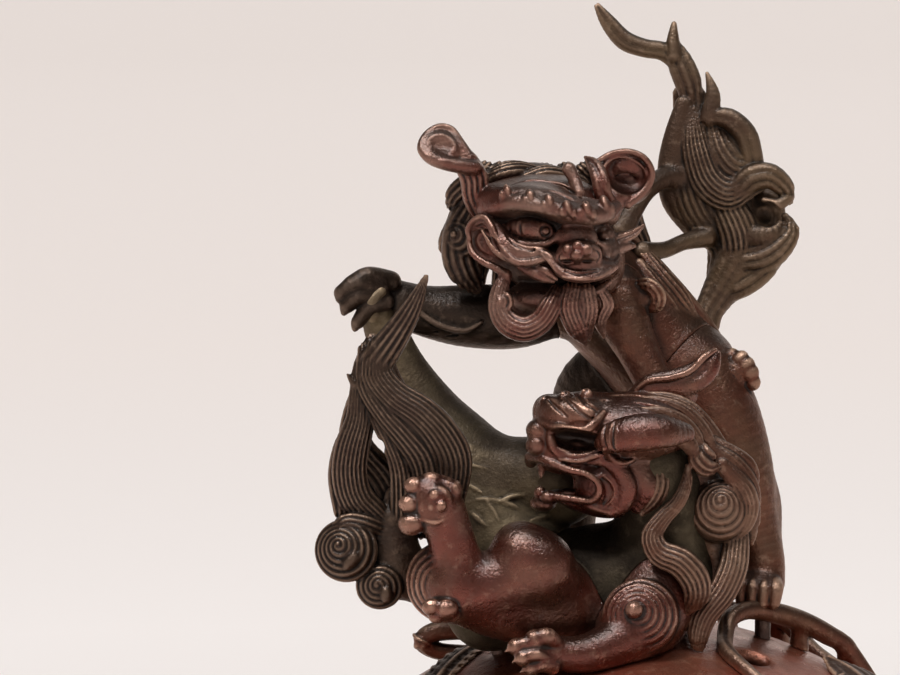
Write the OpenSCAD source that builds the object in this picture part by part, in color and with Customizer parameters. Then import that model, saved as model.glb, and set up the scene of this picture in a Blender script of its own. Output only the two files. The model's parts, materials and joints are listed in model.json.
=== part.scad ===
// Bronze incense burner whose pierced cover carries two wrestling guardian lions.
// Millimetres, +Z up, origin at the centre of the base on the table.
// +X runs to the viewer's right and -Y towards the viewer, who sees the lions side on.

/* [Bowl] */
// Radius of the bowl at its widest
bowl_r = 74; // [68:1:84]
// Height of the bowl's widest circle above the table
belly_z = 62; // [58:1:66]
// Height of the bowl's rim above the table
rim_z = 100; // [96:1:106]
// Radius of the bowl's flat floor, outside
floor_r = 46; // [42:1:50]
// Height of the bowl's floor above the table, outside
floor_z = 24; // [20:1:28]
// Wall thickness of the bowl
bowl_wall = 4; // [3:0.5:5]
// Radius of the open mouth
mouth_r = 55; // [52:1:57]
// Width of the rim's flat top
rim_w = 8; // [6:0.5:10]

/* [Cover] */
// Radius of the cover's outer edge
lid_r = 64; // [62:0.5:66]
// Radius of curvature of the domed cover
dome_r = 86; // [80:1:100]
// Height of the upright band at the cover's edge
band_h = 8; // [6:0.5:10]
// Wall thickness of the cover
lid_wall = 3; // [2.5:0.5:4]
// Depth of the collar that drops into the mouth
collar_h = 7; // [5:0.5:8]
// Gap between the collar and the mouth
lid_clearance = 0.4; // [0.3:0.1:0.6]
// Radius of each round smoke hole
vent_r = 3.5; // [2.5:0.5:4]
// Number of smoke holes round the cover
vent_count = 9; // [7:1:11]
// Distance of the smoke holes from the axis
vent_ring_r = 55; // [53.5:0.5:56]

/* [Ash liner] */
// Outer radius of the liner
liner_r = 40; // [37:1:44]
// Height of the liner
liner_h = 42; // [36:1:48]
// Sheet thickness of the liner
liner_wall = 1.5; // [1:0.5:2.5]
// Gap under the liner's floor
liner_clearance = 0.1; // [0.05:0.05:0.3]

/* [Feet and handles] */
// Distance of the feet from the axis at the table
foot_ring_r = 52; // [48:1:56]
// Radius of each foot's paw
foot_paw_r = 7; // [6:0.5:8]
// Mean radius of each handle's loop
handle_loop_r = 13; // [11:0.5:15]
// Half the thickness of the handle's bar
handle_bar_r = 4; // [3:0.5:5]

/* [Rivets] */
// Shank radius of every rivet
rivet_r = 1.6; // [1.2:0.1:2]
// Radius of every rivet's head
rivet_head_r = 3.2; // [2.6:0.1:4]
// Gap between a rivet and its hole
rivet_clearance = 0.1; // [0.05:0.05:0.2]

/* [Lions] */
// Height of the lions above the cover's apex
lion_h = 123; // [115:1:130]
// Radius of a lion's paw
paw_r = 4.4; // [3.6:0.2:5]
// Radius of a lion's chest
chest_r = 11; // [10:0.5:12]
// Length of a lion's head from nape to nose
head_l = 31; // [28:1:34]
// Radius of the vine stems on the cover
stem_r = 1.9; // [1.6:0.1:2.3]

/* [Hidden] */
$fn = 48;
bronze = [0.24, 0.14, 0.12];
bronze_dark = [0.17, 0.12, 0.10];
bronze_red = [0.32, 0.17, 0.14];
copper = [0.45, 0.26, 0.18];

// Overlap of joined forms, and the gap between a faceted casting and the cover's true curve
lap = 0.5;
seat_gap = 0.15;
// Reach of a cut that has to pass right through
through = 60;

// The bowl's wall is two arcs, both upright at its widest: one ends at the floor's edge, one at the neck
inner_floor_z = floor_z + bowl_wall;
rim_under_z = rim_z - bowl_wall;
neck_r = mouth_r + bowl_wall;
function wall_arc(rise, run) = (rise * rise + run * run) / (2 * run);
belly_arc_r = wall_arc(belly_z - floor_z, bowl_r - floor_r);
shoulder_arc_r = wall_arc(rim_under_z - belly_z, bowl_r - neck_r);
// Straight strips that each arc is drawn with
wall_strips = 8;
// Radius of the bowl's inside at depth dz below its widest circle
function belly_inside(dz) = bowl_r - belly_arc_r + sqrt(pow(belly_arc_r - bowl_wall, 2) - dz * dz);

// Heights and radii of the cover that follow from the sizes above
band_top_z = rim_z + band_h;
apex_z = band_top_z + dome_r - sqrt(dome_r * dome_r - lid_r * lid_r);
collar_r = mouth_r - lid_clearance;

// Feet and handles
foot_angles = [-150, -30, 90];
foot_w = 15;
foot_rivet_r = floor_r - 7;
rivet_head_h = 1.8;
rivet_depth = 6;
hole_r = rivet_r + rivet_clearance;
handle_z = belly_z;
handle_x = bowl_r + 7;
handle_seat_x = belly_inside(handle_loop_r - rivet_head_r);
liner_foot_r = foot_rivet_r - rivet_head_r - 2;
liner_lip = 2;

// The lions and vines are drawn 123 high, with the cover's apex as origin, and scaled to lion_h.
// Sizes that end in _drawn are in that drawing's units.
lion_k = lion_h / 123;
dome_r_drawn = dome_r / lion_k;
paw_r_drawn = paw_r / lion_k;
chest_r_drawn = chest_r / lion_k;
head_l_drawn = head_l / lion_k;
stem_r_drawn = stem_r / lion_k;
// Rivets that come up through the cover into the lions: plan position and reach above the apex
function lion_rivet_xy(k) = lion_k * [[-28, -8], [2, -8], [25, 1], [-13, 33]][k];
function lion_rivet_top(k) = lion_k * [4, 5, 7.5, -1][k];
// Smoke hole left open between the vine and the front leaves
function front_vent() = lion_k * [21.5, -18];

function unit(v) = v / norm(v);
// Height of the cover's outer surface at a point of the drawing's plan, measured from its apex
function dome_at(x, y) = sqrt(dome_r_drawn * dome_r_drawn - x * x - y * y) - dome_r_drawn;
// A point at height h over the cover's surface, in the lions' frame, whose origin is the apex
function over(x, y, h) = [x, y, dome_at(x, y) + h];
// The point, or the width, at u from 0 to len(p) - 1 on the smooth curve through the list p
function curve_at(p, u) =
    let (
        i = min(floor(u), len(p) - 2), t = u - i,
        a = p[max(i - 1, 0)], b = p[i], c = p[i + 1], d = p[min(i + 2, len(p) - 1)]
    )
    0.5 * (2 * b + (c - a) * t + (2 * a - 5 * b + 4 * c - d) * t * t + (3 * b - a - 3 * c + d) * t * t * t);

// A tapering bar swept along a smooth path: a limb, a stem, or a lock of hair where it is flat.
// widths holds its half-width at each point of the path, and face is where its broad side looks.
module sweep(path, widths, flat = 1, face = [0, 1, 0], sides = 6, steps = 2) {
    last = (len(path) - 1) * steps;
    nudge = 0.5 / steps;
    rings = [
        for (k = [0:last])
            let (
                u = k / steps, w = max(curve_at(widths, u), 0.2),
                ahead = curve_at(path, min(u + nudge, len(path) - 1)),
                along = unit(ahead - curve_at(path, max(u - nudge, 0))),
                side = unit(cross(along, face)), out = cross(along, side)
            )
            for (s = [0:sides - 1])
                curve_at(path, u) + side * w * cos(360 * s / sides) + out * w * flat * sin(360 * s / sides)
    ];
    polyhedron(
        points = rings,
        faces = [
            [for (s = [0:sides - 1]) s],
            for (k = [0:last - 1], s = [0:sides - 1])
                let (a = k * sides + s, b = k * sides + (s + 1) % sides)
                each [[a, a + sides, b + sides], [a, b + sides, b]],
            [for (s = [sides - 1:-1:0]) last * sides + s]
        ]
    );
}

// A rounded bar between two points
module bead(a, b, ra, rb) {
    hull() {
        translate(a) sphere(ra, $fn = 6);
        translate(b) sphere(rb, $fn = 6);
    }
}

// An egg with three half-axes
module egg(centre, axes) {
    translate(centre) scale(axes) sphere(1, $fn = 8);
}

// Children moved to pos, their +X turned along fwd and their +Z as near to up as it goes
module aimed(pos, fwd, up) {
    x = unit(fwd);
    y = unit(cross(up, x));
    z = cross(x, y);
    multmatrix([
        [x[0], y[0], z[0], pos[0]],
        [x[1], y[1], z[1], pos[1]],
        [x[2], y[2], z[2], pos[2]],
        [0, 0, 0, 1],
    ]) children();
}

// A paw with four toes along +X and its back towards +Z
module paw(r) {
    bead([-0.6 * r, 0, 0.15 * r], [0.3 * r, 0, 0], 0.85 * r, 0.9 * r);
    for (k = [-1.5:1.5])
        bead(
            [0.4 * r, 0.45 * k * r, 0], [(1.25 - 0.12 * abs(k)) * r, 0.52 * k * r, -0.3 * r],
            0.42 * r, 0.36 * r
        );
}

// A flat coil of hair with a knob in its middle, facing +Z
module coil(r) {
    scale([1, 1, 0.5]) sphere(r, $fn = 10);
    translate([0, 0, 0.45 * r]) sphere(0.25 * r, $fn = 6);
}

// Children of the lions' drawing, scaled and moved to the cover's apex
module at_apex() {
    translate([0, 0, apex_z]) scale(lion_k) children();
}

// Children put on the cover in the lions' frame and cut to sit on its curve
module on_cover() {
    difference() {
        at_apex() children();
        translate([0, 0, apex_z - dome_r]) sphere(dome_r + seat_gap, $fn = 64);
        lion_rivet_holes();
    }
}

module lion_rivet_holes() {
    for (k = [0:3])
        translate([lion_rivet_xy(k)[0], lion_rivet_xy(k)[1], apex_z - through])
            cylinder(through + lion_rivet_top(k) + rivet_clearance, r = hole_r, $fn = 24);
}

// Profile of the bowl between two heights, where its wall follows an arc of arc_r, drawn in by inset
module bowl_profile(arc_r, inset, low, high) {
    reach = arc_r - inset;
    start = asin((low - belly_z) / reach);
    end = asin((high - belly_z) / reach);
    wall = [
        for (k = [0:wall_strips])
            let (a = start + (end - start) * k / wall_strips)
                [bowl_r - arc_r + reach * cos(a), belly_z + reach * sin(a)]
    ];
    polygon(concat([[0, low]], wall, [[0, high]]));
}

module bowl_form() {
    rotate_extrude(convexity = 4) {
        bowl_profile(belly_arc_r, 0, floor_z, belly_z);
        bowl_profile(shoulder_arc_r, 0, belly_z, rim_under_z);
        translate([0, rim_under_z - bowl_wall]) square([neck_r, 2 * bowl_wall]);
        translate([0, rim_under_z]) square([mouth_r + rim_w, bowl_wall]);
    }
}

module bowl_hollow() {
    rotate_extrude(convexity = 4) {
        bowl_profile(belly_arc_r, bowl_wall, inner_floor_z, belly_z);
        bowl_profile(shoulder_arc_r, bowl_wall, belly_z, rim_under_z - bowl_wall);
        translate([0, belly_z]) square([mouth_r, rim_z - belly_z + lap]);
    }
}

// A rivet standing along +Z, its head's top at zero and its shank length long beyond the head
module rivet(length) {
    translate([0, 0, -rivet_head_h]) cylinder(rivet_head_h, r = rivet_head_r, $fn = 24);
    translate([0, 0, -lap]) cylinder(length + lap, r = rivet_r, $fn = 24);
}

// Children at both ends of a handle's loop, their +Z pointing out of the bowl
module at_handle_ends(side) {
    for (end = [-1, 1])
        translate([side * handle_seat_x, 0, handle_z + end * handle_loop_r])
            rotate([0, side * 90, 0])
                children();
}

// The whole bowl, which is cast in two and joined at its widest circle
module bowl_shell() {
    difference() {
        bowl_form();
        bowl_hollow();
        for (a = foot_angles)
            rotate(a)
                translate([foot_rivet_r, 0, floor_z - lap])
                    cylinder(bowl_wall + 2 * lap, r = hole_r, $fn = 24);
        for (side = [-1, 1])
            at_handle_ends(side) {
                translate([0, 0, -bowl_wall])
                    cylinder(bowl_wall, r = rivet_head_r + rivet_clearance, $fn = 24);
                translate([0, 0, -lap]) cylinder(2 * bowl_wall, r = hole_r, $fn = 24);
            }
    }
}

module bowl() {
    color(bronze)
        difference() {
            bowl_shell();
            translate([0, 0, belly_z]) cylinder(through, r = bowl_r + lap);
        }
}

module bowl_shoulder() {
    color(bronze)
        difference() {
            bowl_shell();
            translate([0, 0, belly_z - through]) cylinder(through, r = bowl_r + lap);
        }
}

// One foot, standing under +X: a bracket under the floor, a bulging knee and a paw on the table
module foot() {
    inner = floor_r - 14;
    knee = floor_r + 9;
    toe_r = 0.42 * foot_paw_r;
    difference() {
        union() {
            rotate([90, 0, 0])
                translate([0, 0, -foot_w / 2])
                    linear_extrude(foot_w)
                        polygon([
                            [inner, floor_z],
                            [knee - 2, floor_z],
                            [knee, floor_z - 3],
                            [knee, floor_z - 8],
                            [foot_ring_r, floor_z * 0.4],
                            [foot_ring_r + 2, foot_paw_r * 0.5],
                            [foot_ring_r - foot_paw_r, foot_paw_r * 0.5],
                            [foot_ring_r - foot_paw_r, floor_z * 0.4],
                            [inner, floor_z - 5],
                        ]);
            translate([foot_ring_r, 0, 0]) cylinder(foot_paw_r * 0.9, r = foot_paw_r);
            for (k = [-1:1])
                translate([foot_ring_r + foot_paw_r * (0.8 - 0.2 * abs(k)), k * foot_paw_r * 0.62, toe_r])
                    sphere(toe_r);
        }
        translate([foot_rivet_r, 0, floor_z - rivet_depth])
            cylinder(rivet_depth + lap, r = hole_r, $fn = 24);
    }
}

module foot_left() {
    color(bronze) rotate(foot_angles[0]) foot();
}

module foot_right() {
    color(bronze) rotate(foot_angles[1]) foot();
}

module foot_back() {
    color(bronze) rotate(foot_angles[2]) foot();
}

module foot_rivets() {
    color(bronze_dark)
        for (a = foot_angles)
            rotate(a)
                translate([foot_rivet_r, 0, inner_floor_z])
                    mirror([0, 0, 1])
                        rivet(bowl_wall + rivet_depth - rivet_clearance);
}

// One handle on the +X side: a half ring on two arms that end on the bowl's belly
module handle() {
    difference() {
        union() {
            translate([handle_x, 0, handle_z])
                rotate([90, 0, 0])
                    rotate(-90)
                        rotate_extrude(angle = 180)
                            translate([handle_loop_r, 0])
                                circle(handle_bar_r);
            for (end = [-1, 1])
                translate([handle_seat_x, 0, handle_z + end * handle_loop_r])
                    rotate([0, 90, 0])
                        cylinder(handle_x - handle_seat_x, r = handle_bar_r);
        }
        bowl_form();
        at_handle_ends(1) cylinder(handle_x - handle_seat_x, r = hole_r, $fn = 24);
    }
}

module handle_right() {
    color(bronze) handle();
}

module handle_left() {
    color(bronze) mirror([1, 0, 0]) handle();
}

module handle_rivets() {
    color(bronze_dark)
        for (side = [-1, 1])
            at_handle_ends(side) rivet(handle_x - handle_seat_x - rivet_clearance);
}

module ash_liner() {
    bottom = inner_floor_z + liner_clearance;
    color(copper)
        rotate_extrude(convexity = 4)
            polygon([
                [0, bottom],
                [liner_foot_r, bottom],
                [liner_r, bottom + liner_h - liner_wall],
                [liner_r + liner_lip, bottom + liner_h - liner_wall],
                [liner_r + liner_lip, bottom + liner_h],
                [liner_r - liner_wall, bottom + liner_h],
                [liner_foot_r - liner_wall, bottom + liner_wall],
                [0, bottom + liner_wall],
            ]);
}

module lid() {
    color(bronze)
        difference() {
            rotate_extrude(convexity = 4) {
                difference() {
                    intersection() {
                        translate([0, apex_z - dome_r]) circle(dome_r);
                        translate([0, rim_z]) square([lid_r, apex_z - rim_z]);
                    }
                    intersection() {
                        translate([0, apex_z - dome_r]) circle(dome_r - lid_wall);
                        translate([0, rim_z - lap]) square([lid_r - lid_wall, apex_z - rim_z]);
                    }
                }
                translate([collar_r - lid_wall, rim_z]) square([lid_r - collar_r + lid_wall, lid_wall]);
                translate([collar_r - lid_wall, rim_z - collar_h]) square([lid_wall, collar_h + lid_wall]);
            }
            for (k = [0:vent_count - 1])
                rotate(360 * (k + 0.5) / vent_count)
                    translate([vent_ring_r, 0, band_top_z])
                        cylinder(through, r = vent_r);
            translate([front_vent()[0], front_vent()[1], band_top_z]) cylinder(through, r = vent_r);
            lion_rivet_holes();
        }
}

module lion_rivets() {
    color(bronze_dark)
        for (k = [0:3])
            let (
                edge = norm(lion_rivet_xy(k)) + rivet_head_r,
                seat = sqrt(pow(dome_r - lid_wall, 2) - edge * edge) - dome_r - rivet_clearance
            )
                translate([lion_rivet_xy(k)[0], lion_rivet_xy(k)[1], apex_z + seat])
                    rivet(lion_rivet_top(k) - seat);
}

// Vine stems that arch over the cover, with small buds along them
module stem(path) {
    sweep(path, [for (p = path) stem_r_drawn], face = [0.1, 0.3, 1]);
    for (k = [0:len(path) - 2])
        bead(curve_at(path, k), curve_at(path, k + 0.15), 1.25 * stem_r_drawn, 1.1 * stem_r_drawn);
}

module vine_right_form() {
    stem(
        [
            over(13, -14, 0), [17.5, -8, -0.5], [23, -2, 1], [32, 1, -1],
            [41, 3, -5.5], over(48, 4, 1), over(53, 4, 0)
        ]
    );
    bead([25, 0, 1], over(25, 1, 0), 2.2 * stem_r_drawn, 2.3 * stem_r_drawn);
    bead([41, 3, -5.5], over(43, 7, 0), stem_r_drawn, 1.2 * stem_r_drawn);
    bead([33, 1, -1.5], over(35, 6, 0), stem_r_drawn, 1.2 * stem_r_drawn);
}

module vine_right() {
    color(bronze) on_cover() vine_right_form();
}

module vine_left() {
    color(bronze)
        on_cover() {
            stem(
                [
                    over(-18, 24, 0), [-25, 26, -2], [-34, 28, -2.5], [-42, 28, -4],
                    [-45, 28, -7.5], [-41, 28, -10], over(-36, 29, 0)
                ]
            );
            bead([-27, 26.5, -2], over(-27, 30, 0), stem_r_drawn, 1.3 * stem_r_drawn);
            bead([-41, 28, -10], over(-42, 30, 0), stem_r_drawn, 1.3 * stem_r_drawn);
        }
}

module vine_back() {
    color(bronze)
        on_cover() {
            stem(
                [
                    over(2, 30, 0), [10, 34, -3], [20, 35, -3.5],
                    [30, 31, -4], over(38, 25, 2), over(44, 19, 0)
                ]
            );
            bead([10, 34, -3], over(10, 38, 0), stem_r_drawn, 1.3 * stem_r_drawn);
            bead([20, 35, -3.5], over(21, 39, 0), stem_r_drawn, 1.3 * stem_r_drawn);
            bead([30, 31, -4], over(32, 35, 0), stem_r_drawn, 1.3 * stem_r_drawn);
        }
}

// A leaf lying on the cover along a path of plan positions, with a raised rib and lobed edges
module leaf(xy, widths, lift = 0.6) {
    path = [for (k = [0:len(xy) - 1]) over(xy[k][0], xy[k][1], lift + 0.05 * k * widths[k])];
    sweep(path, widths, flat = 0.24, face = [0, 0, 1]);
    for (k = [1:len(xy) - 2], s = [-1, 1])
        let (along = unit(path[k] - path[k - 1]), across = unit(cross(along, [0, 0, 1])) * s * widths[k])
            bead(path[k], path[k] + 0.95 * across + 1.2 * along, 0.2 * widths[k] + 0.4, 0.8);
}

module leaf_front_left() {
    color(bronze)
        on_cover() {
            leaf([[-14, -36], [-22, -35], [-30, -32], [-38, -27], [-44, -21]], [2, 5.5, 6.5, 5, 1.2]);
            leaf([[-18, -36], [-26, -39], [-34, -37]], [2, 4, 1]);
        }
}

module leaf_front() {
    color(bronze)
        on_cover() {
            leaf([[-4, -36], [3, -37], [11, -36], [19, -33], [26, -28]], [2, 5.5, 6, 5, 1.4]);
            leaf([[0, -37], [5, -43], [13, -45]], [2, 4.5, 1]);
        }
}

module leaf_right() {
    color(bronze)
        on_cover() {
            leaf([[38, -4], [42, -9], [44.5, -15], [45, -21], [42, -28]], [1.6, 4.6, 5.4, 4.2, 1], 1.5);
            leaf([[41, -8], [38, -18], [35, -28]], [2, 4, 1]);
        }
}

// A lion's head looking along +X, with its crown towards +Z
module head() {
    scale(head_l_drawn / 31) {
        egg([-2, 0, 2], [12, 11, 9.5]);
        egg([9.5, 0, -2], [6.8, 7.4, 4.4]);
        egg([14.2, 0, 0.8], [3, 4.4, 2.8]);
        bead([11.5, -3, -9.6], [11.5, 3, -9.6], 2.4, 2.4);
        bead([9, 0, -10], [10.5, 0, -14], 3, 1);
        for (s = [-1, 1]) {
            egg([8.6, 5.4 * s, 2.8], [2.7, 2.7, 2.7]);
            egg([0, 8.6 * s, -3], [6, 4, 5.5]);
            sweep(
                [[11, 1.2 * s, 5], [8.5, 6.5 * s, 7], [0, 11.4 * s, 4]],
                [1.7, 2.5, 1], face = [0, 0, 1], steps = 1
            );
            sweep(
                [[16, -0.8 * s, -3.4], [13, 6 * s, -3.2], [7, 9.6 * s, -5], [4.5, 10.6 * s, 0]],
                [1.6, 1.8, 1.8, 0.8], face = [0, 0, 1], sides = 5
            );
            sweep(
                [[11, 3 * s, -9.6], [4, 8.6 * s, -8], [-3, 9.5 * s, -5]],
                [2.1, 2.1, 1.6], face = [0, 0, 1], steps = 1
            );
            bead([4, 8 * s, -8], [5, 8.4 * s, -15], 3, 1);
            bead([3.5, 4 * s, 9.5], [2.5, 4.4 * s, 12.5], 2, 1.4);
        }
    }
}

// A jointed limb: round at every point of the path and thick as radii says
module limb(path, radii) {
    steps = 2;
    for (k = [0:(len(path) - 1) * steps - 1])
        let (u = k / steps, v = (k + 1) / steps)
            hull() {
                translate(curve_at(path, u)) sphere(curve_at(radii, u), $fn = 8);
                translate(curve_at(path, v)) sphere(curve_at(radii, v), $fn = 8);
            }
}

// A flat lock of hair with a rounded root
module lock(path, widths, flat = 0.6) {
    sweep(path, widths, flat);
    bead(path[0], curve_at(path, 0.4), 0.7 * widths[0], 0.7 * widths[0]);
}

// Lower lion: on its back with its legs in the air, its head up at the right and looking left
module lower_trunk() {
    limb([[-28, -8, 5], [-12, -8, 7.5], [4, -8, 10]], [0.86, 0.92, 1] * chest_r_drawn);
    limb([[4, -8, 12], [4.5, -10, 22], [2, -13, 32]], [0.95, 0.86, 0.8] * chest_r_drawn);
    for (k = [0.2:0.3:1.7])
        bead(
            curve_at([[-28, 1, 5], [-12, 2, 8], [5, 3, 12]], k),
            curve_at([[-28, 1, 9], [-12, 2, 12], [5, 3, 16]], k),
            1.6, 1.2
        );
}

module lower_lion_torso() {
    color(bronze) on_cover() lower_trunk();
}

module lower_lion_head_form() {
    aimed([-6.4, -14.2, 36.4], [-1, -0.17, 0.03], [0, 0, 1]) head();
    lock([[-8, -23, 37], [-2, -26, 38.5], [4, -26, 38], [9, -23, 36.5]], [2.4, 3.6, 3.6, 1.6], 0.5);
    lock([[-4, -7, 43], [4, -4, 48], [10, -4, 49.5], [15.5, -3, 54.5]], [2.5, 3.2, 2.8, 0.8], 0.6);
}

module lower_lion_head() {
    color(bronze_red)
        difference() {
            on_cover() lower_lion_head_form();
            at_apex() {
                lower_trunk();
            }
        }
}

module lower_lion_mane_form() {
    limb([[8, -10, 42], [14, -10, 33], [15, -11, 22]], [5.5, 7, 6]);
    lock([[11, -15, 35], [8, -21, 28], [5, -22.5, 19.5], [8, -22, 11]], [3, 3.2, 3.2, 3.8]);
    lock([[17, -12, 28], [19, -14, 16], [15.5, -16.5, 4], [9.5, -19, -5]], [3, 3.4, 3.4, 1.5]);
    lock([[13, -9, 38], [18, -9, 36.5], [23.5, -8, 31]], [3, 3.4, 0.7], 0.7);
    lock([[15, -8, 33], [20, -9, 30], [24.5, -8, 24]], [3, 3.4, 0.7], 0.7);
    lock([[16, -8, 27], [20, -9, 24], [23, -9, 17]], [3, 3.2, 0.7], 0.7);
    lock([[12, -6, 38], [14, -2, 30], [15, -1, 18]], [3.4, 4, 0.8], 0.7);
    aimed([16, -15, 23], [1, 0, 0], [0, -1, 0.1]) coil(6.2);
    aimed([12, -16, 35], [1, 0, 0], [0, -1, 0.1]) coil(3.6);
}

module lower_lion_mane() {
    color(bronze_dark)
        difference() {
            on_cover() lower_lion_mane_form();
            at_apex() {
                lower_trunk();
                lower_lion_head_form();
            }
        }
}

module lower_lion_near_foreleg_form() {
    limb(
        [[4, -15, 8], [2, -21, 6], [-5, -27, 0], [-14, -29, -3], [-19, -30, -2.5]],
        [8, 6.4, 4.6, 3.8, 3.6]
    );
    aimed([2, -24, 6.5], [1, 0, 0], [0, -1, 0.12]) coil(8.4);
    aimed([-20, -30, -2.4], [-1, -0.15, -0.05], [0, -0.3, 1]) paw(paw_r_drawn);
}

module lower_lion_near_foreleg() {
    color(bronze_red)
        difference() {
            on_cover() lower_lion_near_foreleg_form();
            at_apex() {
                lower_trunk();
                lower_lion_mane_form();
            }
        }
}

module lower_lion_far_foreleg_form() {
    limb([[5, -2, 9], [3, 7, 6], [-3, 14, 1], [-9, 18, -1]], [6.5, 5.4, 4.2, 3.8]);
    aimed([-12, 20, -0.6], [-1, 0.5, -0.1], [0, 0, 1]) paw(paw_r_drawn);
}

module lower_lion_far_foreleg() {
    color(bronze)
        difference() {
            on_cover() lower_lion_far_foreleg_form();
            at_apex() {
                lower_trunk();
            }
        }
}

module lower_lion_near_hind_leg_form() {
    limb([[-14, -15, 4], [-20, -24, 14], [-25, -25.5, 13], [-33, -25, 7]], [8.6, 8, 7.4, 6]);
    limb([[-34, -25, 7], [-35, -26, 15], [-38, -27, 22]], [5.4, 4.6, 4.4]);
    aimed([-40.5, -27.5, 25.5], [-0.55, -0.35, 0.75], [0.75, 0.2, 0.6]) paw(1.15 * paw_r_drawn);
    lock([[-41, -24, 15], [-43.5, -24.5, 9], [-41, -25, 2.5]], [3.4, 4.6, 2.6], 0.9);
    bead([-42, -26, 2], [-38.5, -26.5, 1.5], 1.8, 1.8);
}

module lower_lion_near_hind_leg() {
    color(bronze_red)
        difference() {
            on_cover() lower_lion_near_hind_leg_form();
            at_apex() {
                lower_trunk();
            }
        }
}

module lower_lion_far_hind_leg_form() {
    limb([[-20, 0, 8], [-30, 6, 22.5], [-42, 8, 35], [-49, 9, 49.5], [-52.5, 9, 57]], [9, 10, 7, 4.6, 4]);
    aimed([-54, 8.5, 61], [-0.4, -0.1, 1], [-1, 0, 0]) paw(paw_r_drawn);
    bead([-22, 6, 10], [-34, 10, 30], 6, 5);
}

module lower_lion_far_hind_leg() {
    color(bronze)
        difference() {
            on_cover() lower_lion_far_hind_leg_form();
            at_apex() {
                lower_trunk();
            }
        }
}

module lower_lion_tail_form() {
    limb([[-34, -9, 6], [-42, -12, 9], [-49, -15, 15]], [4.6, 4.4, 5]);
    lock(
        [
            [-40, -16, 20], [-37, -18, 32], [-44, -18.5, 43],
            [-51, -18.5, 52], [-46, -19.5, 63.5], [-42.5, -20, 70]
        ],
        [4.5, 5, 5.4, 3.2, 2.2, 0.8], 0.7
    );
    lock(
        [[-50, -15, 18], [-57.5, -15, 26], [-58.5, -15, 33], [-55.5, -16, 41], [-53, -17, 54]],
        [4.4, 4, 4, 2.4, 1.4], 0.7
    );
    lock([[-49, -16, 16], [-46.5, -17, 27], [-46.5, -17.5, 36], [-52, -17, 45]], [4.6, 4.6, 4, 1.6], 0.7);
    lock([[-51, -14, 16], [-53, -14, 24], [-51, -15, 32]], [4, 3.4, 1], 0.8);
    lock([[-56, -14, 26], [-60, -13, 34], [-57, -14, 42]], [2, 2.2, 0.7], 0.7);
    lock([[-56, -17, 44], [-56.5, -17, 47], [-58.5, -17, 50]], [1.8, 1.2, 0.4], 0.7);
    lock([[-48, -14, 14], [-54, -16, 14], [-60, -18, 19]], [5, 5, 2], 0.8);
    lock([[-45, -14, 9], [-50, -16, 9.5], [-56, -17, 11]], [4.2, 3.6, 1.5], 0.8);
    aimed([-58, -18, 17], [1, 0, 0], [-0.1, -1, 0.1]) coil(6.2);
    aimed([-52, -17.5, 9.5], [1, 0, 0], [0, -1, 0]) coil(4.4);
}

module lower_lion_tail() {
    color(bronze_dark)
        difference() {
            on_cover() lower_lion_tail_form();
            at_apex() {
                lower_trunk();
                lower_lion_near_hind_leg_form();
            }
        }
}

// Upper lion: rearing behind the other, its head turned down and out to the viewer
module upper_trunk() {
    limb([[8, 14, 47], [0, 14, 56], [-9, 13, 65], [-15, 8, 74]], [1.06, 1, 1, 0.84] * chest_r_drawn);
    for (k = [0.1:0.4:2.2])
        bead(
            curve_at([[18, 18, 52], [9, 19, 61], [0, 19, 70], [-7, 16, 79]], k),
            curve_at([[13, 17, 49], [5, 17, 58], [-5, 17, 67], [-11, 13, 76]], k),
            1.3, 2.4
        );
}

module upper_lion_torso() {
    color(bronze) on_cover() upper_trunk();
}

module upper_lion_head_form() {
    aimed([-18.5, -2, 76], [0.6, -0.78, -0.16], [0.05, 0, 1]) head();
    lock([[-26, 1, 82], [-32, 0, 87], [-36, -2, 93], [-41, -2, 96]], [2.8, 2.8, 3.2, 3.4], 0.5);
    lock([[-13, 0, 82], [-6, 2, 88], [-1, 2, 91]], [3, 4.2, 4]);
    lock([[-10, -5, 78], [-4, -4, 79], [0.5, -3, 79.5]], [1.8, 1.3, 0.6]);
    lock([[-24, -4, 68], [-25, -6, 61], [-20, -7, 58]], [5, 5.4, 2.4], 0.7);
    lock([[-13, -7, 68], [-10.5, -6, 61], [-9, -5, 56]], [3.4, 3, 0.6], 0.7);
}

module upper_lion_head() {
    color(bronze_red)
        difference() {
            on_cover() upper_lion_head_form();
            at_apex() {
                upper_trunk();
            }
        }
}

module upper_lion_mane_form() {
    limb([[-27, 6, 82], [-20, 9, 84], [-12, 9, 83]], [5, 5.6, 5]);
    lock([[-29, 4, 83], [-35, 4, 80], [-36, 4, 74], [-33, 4, 68]], [4, 4, 4, 1.2], 0.8);
    lock([[-28, 5, 86], [-34, 6, 85], [-37, 6, 81]], [3, 3, 1.4], 0.8);
    lock([[-22, 8, 86], [-26, 12, 85], [-30, 14, 79]], [4, 4.4, 1.2], 0.8);
    lock([[-17, 10, 86], [-17, 15, 84], [-18, 19, 76]], [4, 4.4, 1], 0.8);
    lock([[-11, 9, 85], [-8, 14, 84], [-6, 18, 80]], [3.6, 3.6, 1], 0.8);
}

module upper_lion_mane() {
    color(bronze_dark)
        difference() {
            on_cover() upper_lion_mane_form();
            at_apex() {
                upper_trunk();
                upper_lion_head_form();
            }
        }
}

module upper_lion_reaching_arm_form() {
    limb([[-16, 12, 63.5], [-26, 11, 60.5], [-38, 10, 61.5], [-46, 9, 64.5]], [7.4, 6.2, 4.8, 4]);
    aimed([-51.5, 8.5, 67.5], [-1, -0.15, -0.12], [-0.1, 0, 1]) paw(1.1 * paw_r_drawn);
    for (k = [0:4])
        bead([-20 - 5 * k, 12, 57 + 0.4 * k], [-21 - 5 * k, 13, 55.5 + 0.4 * k], 2.8, 2);
}

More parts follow.
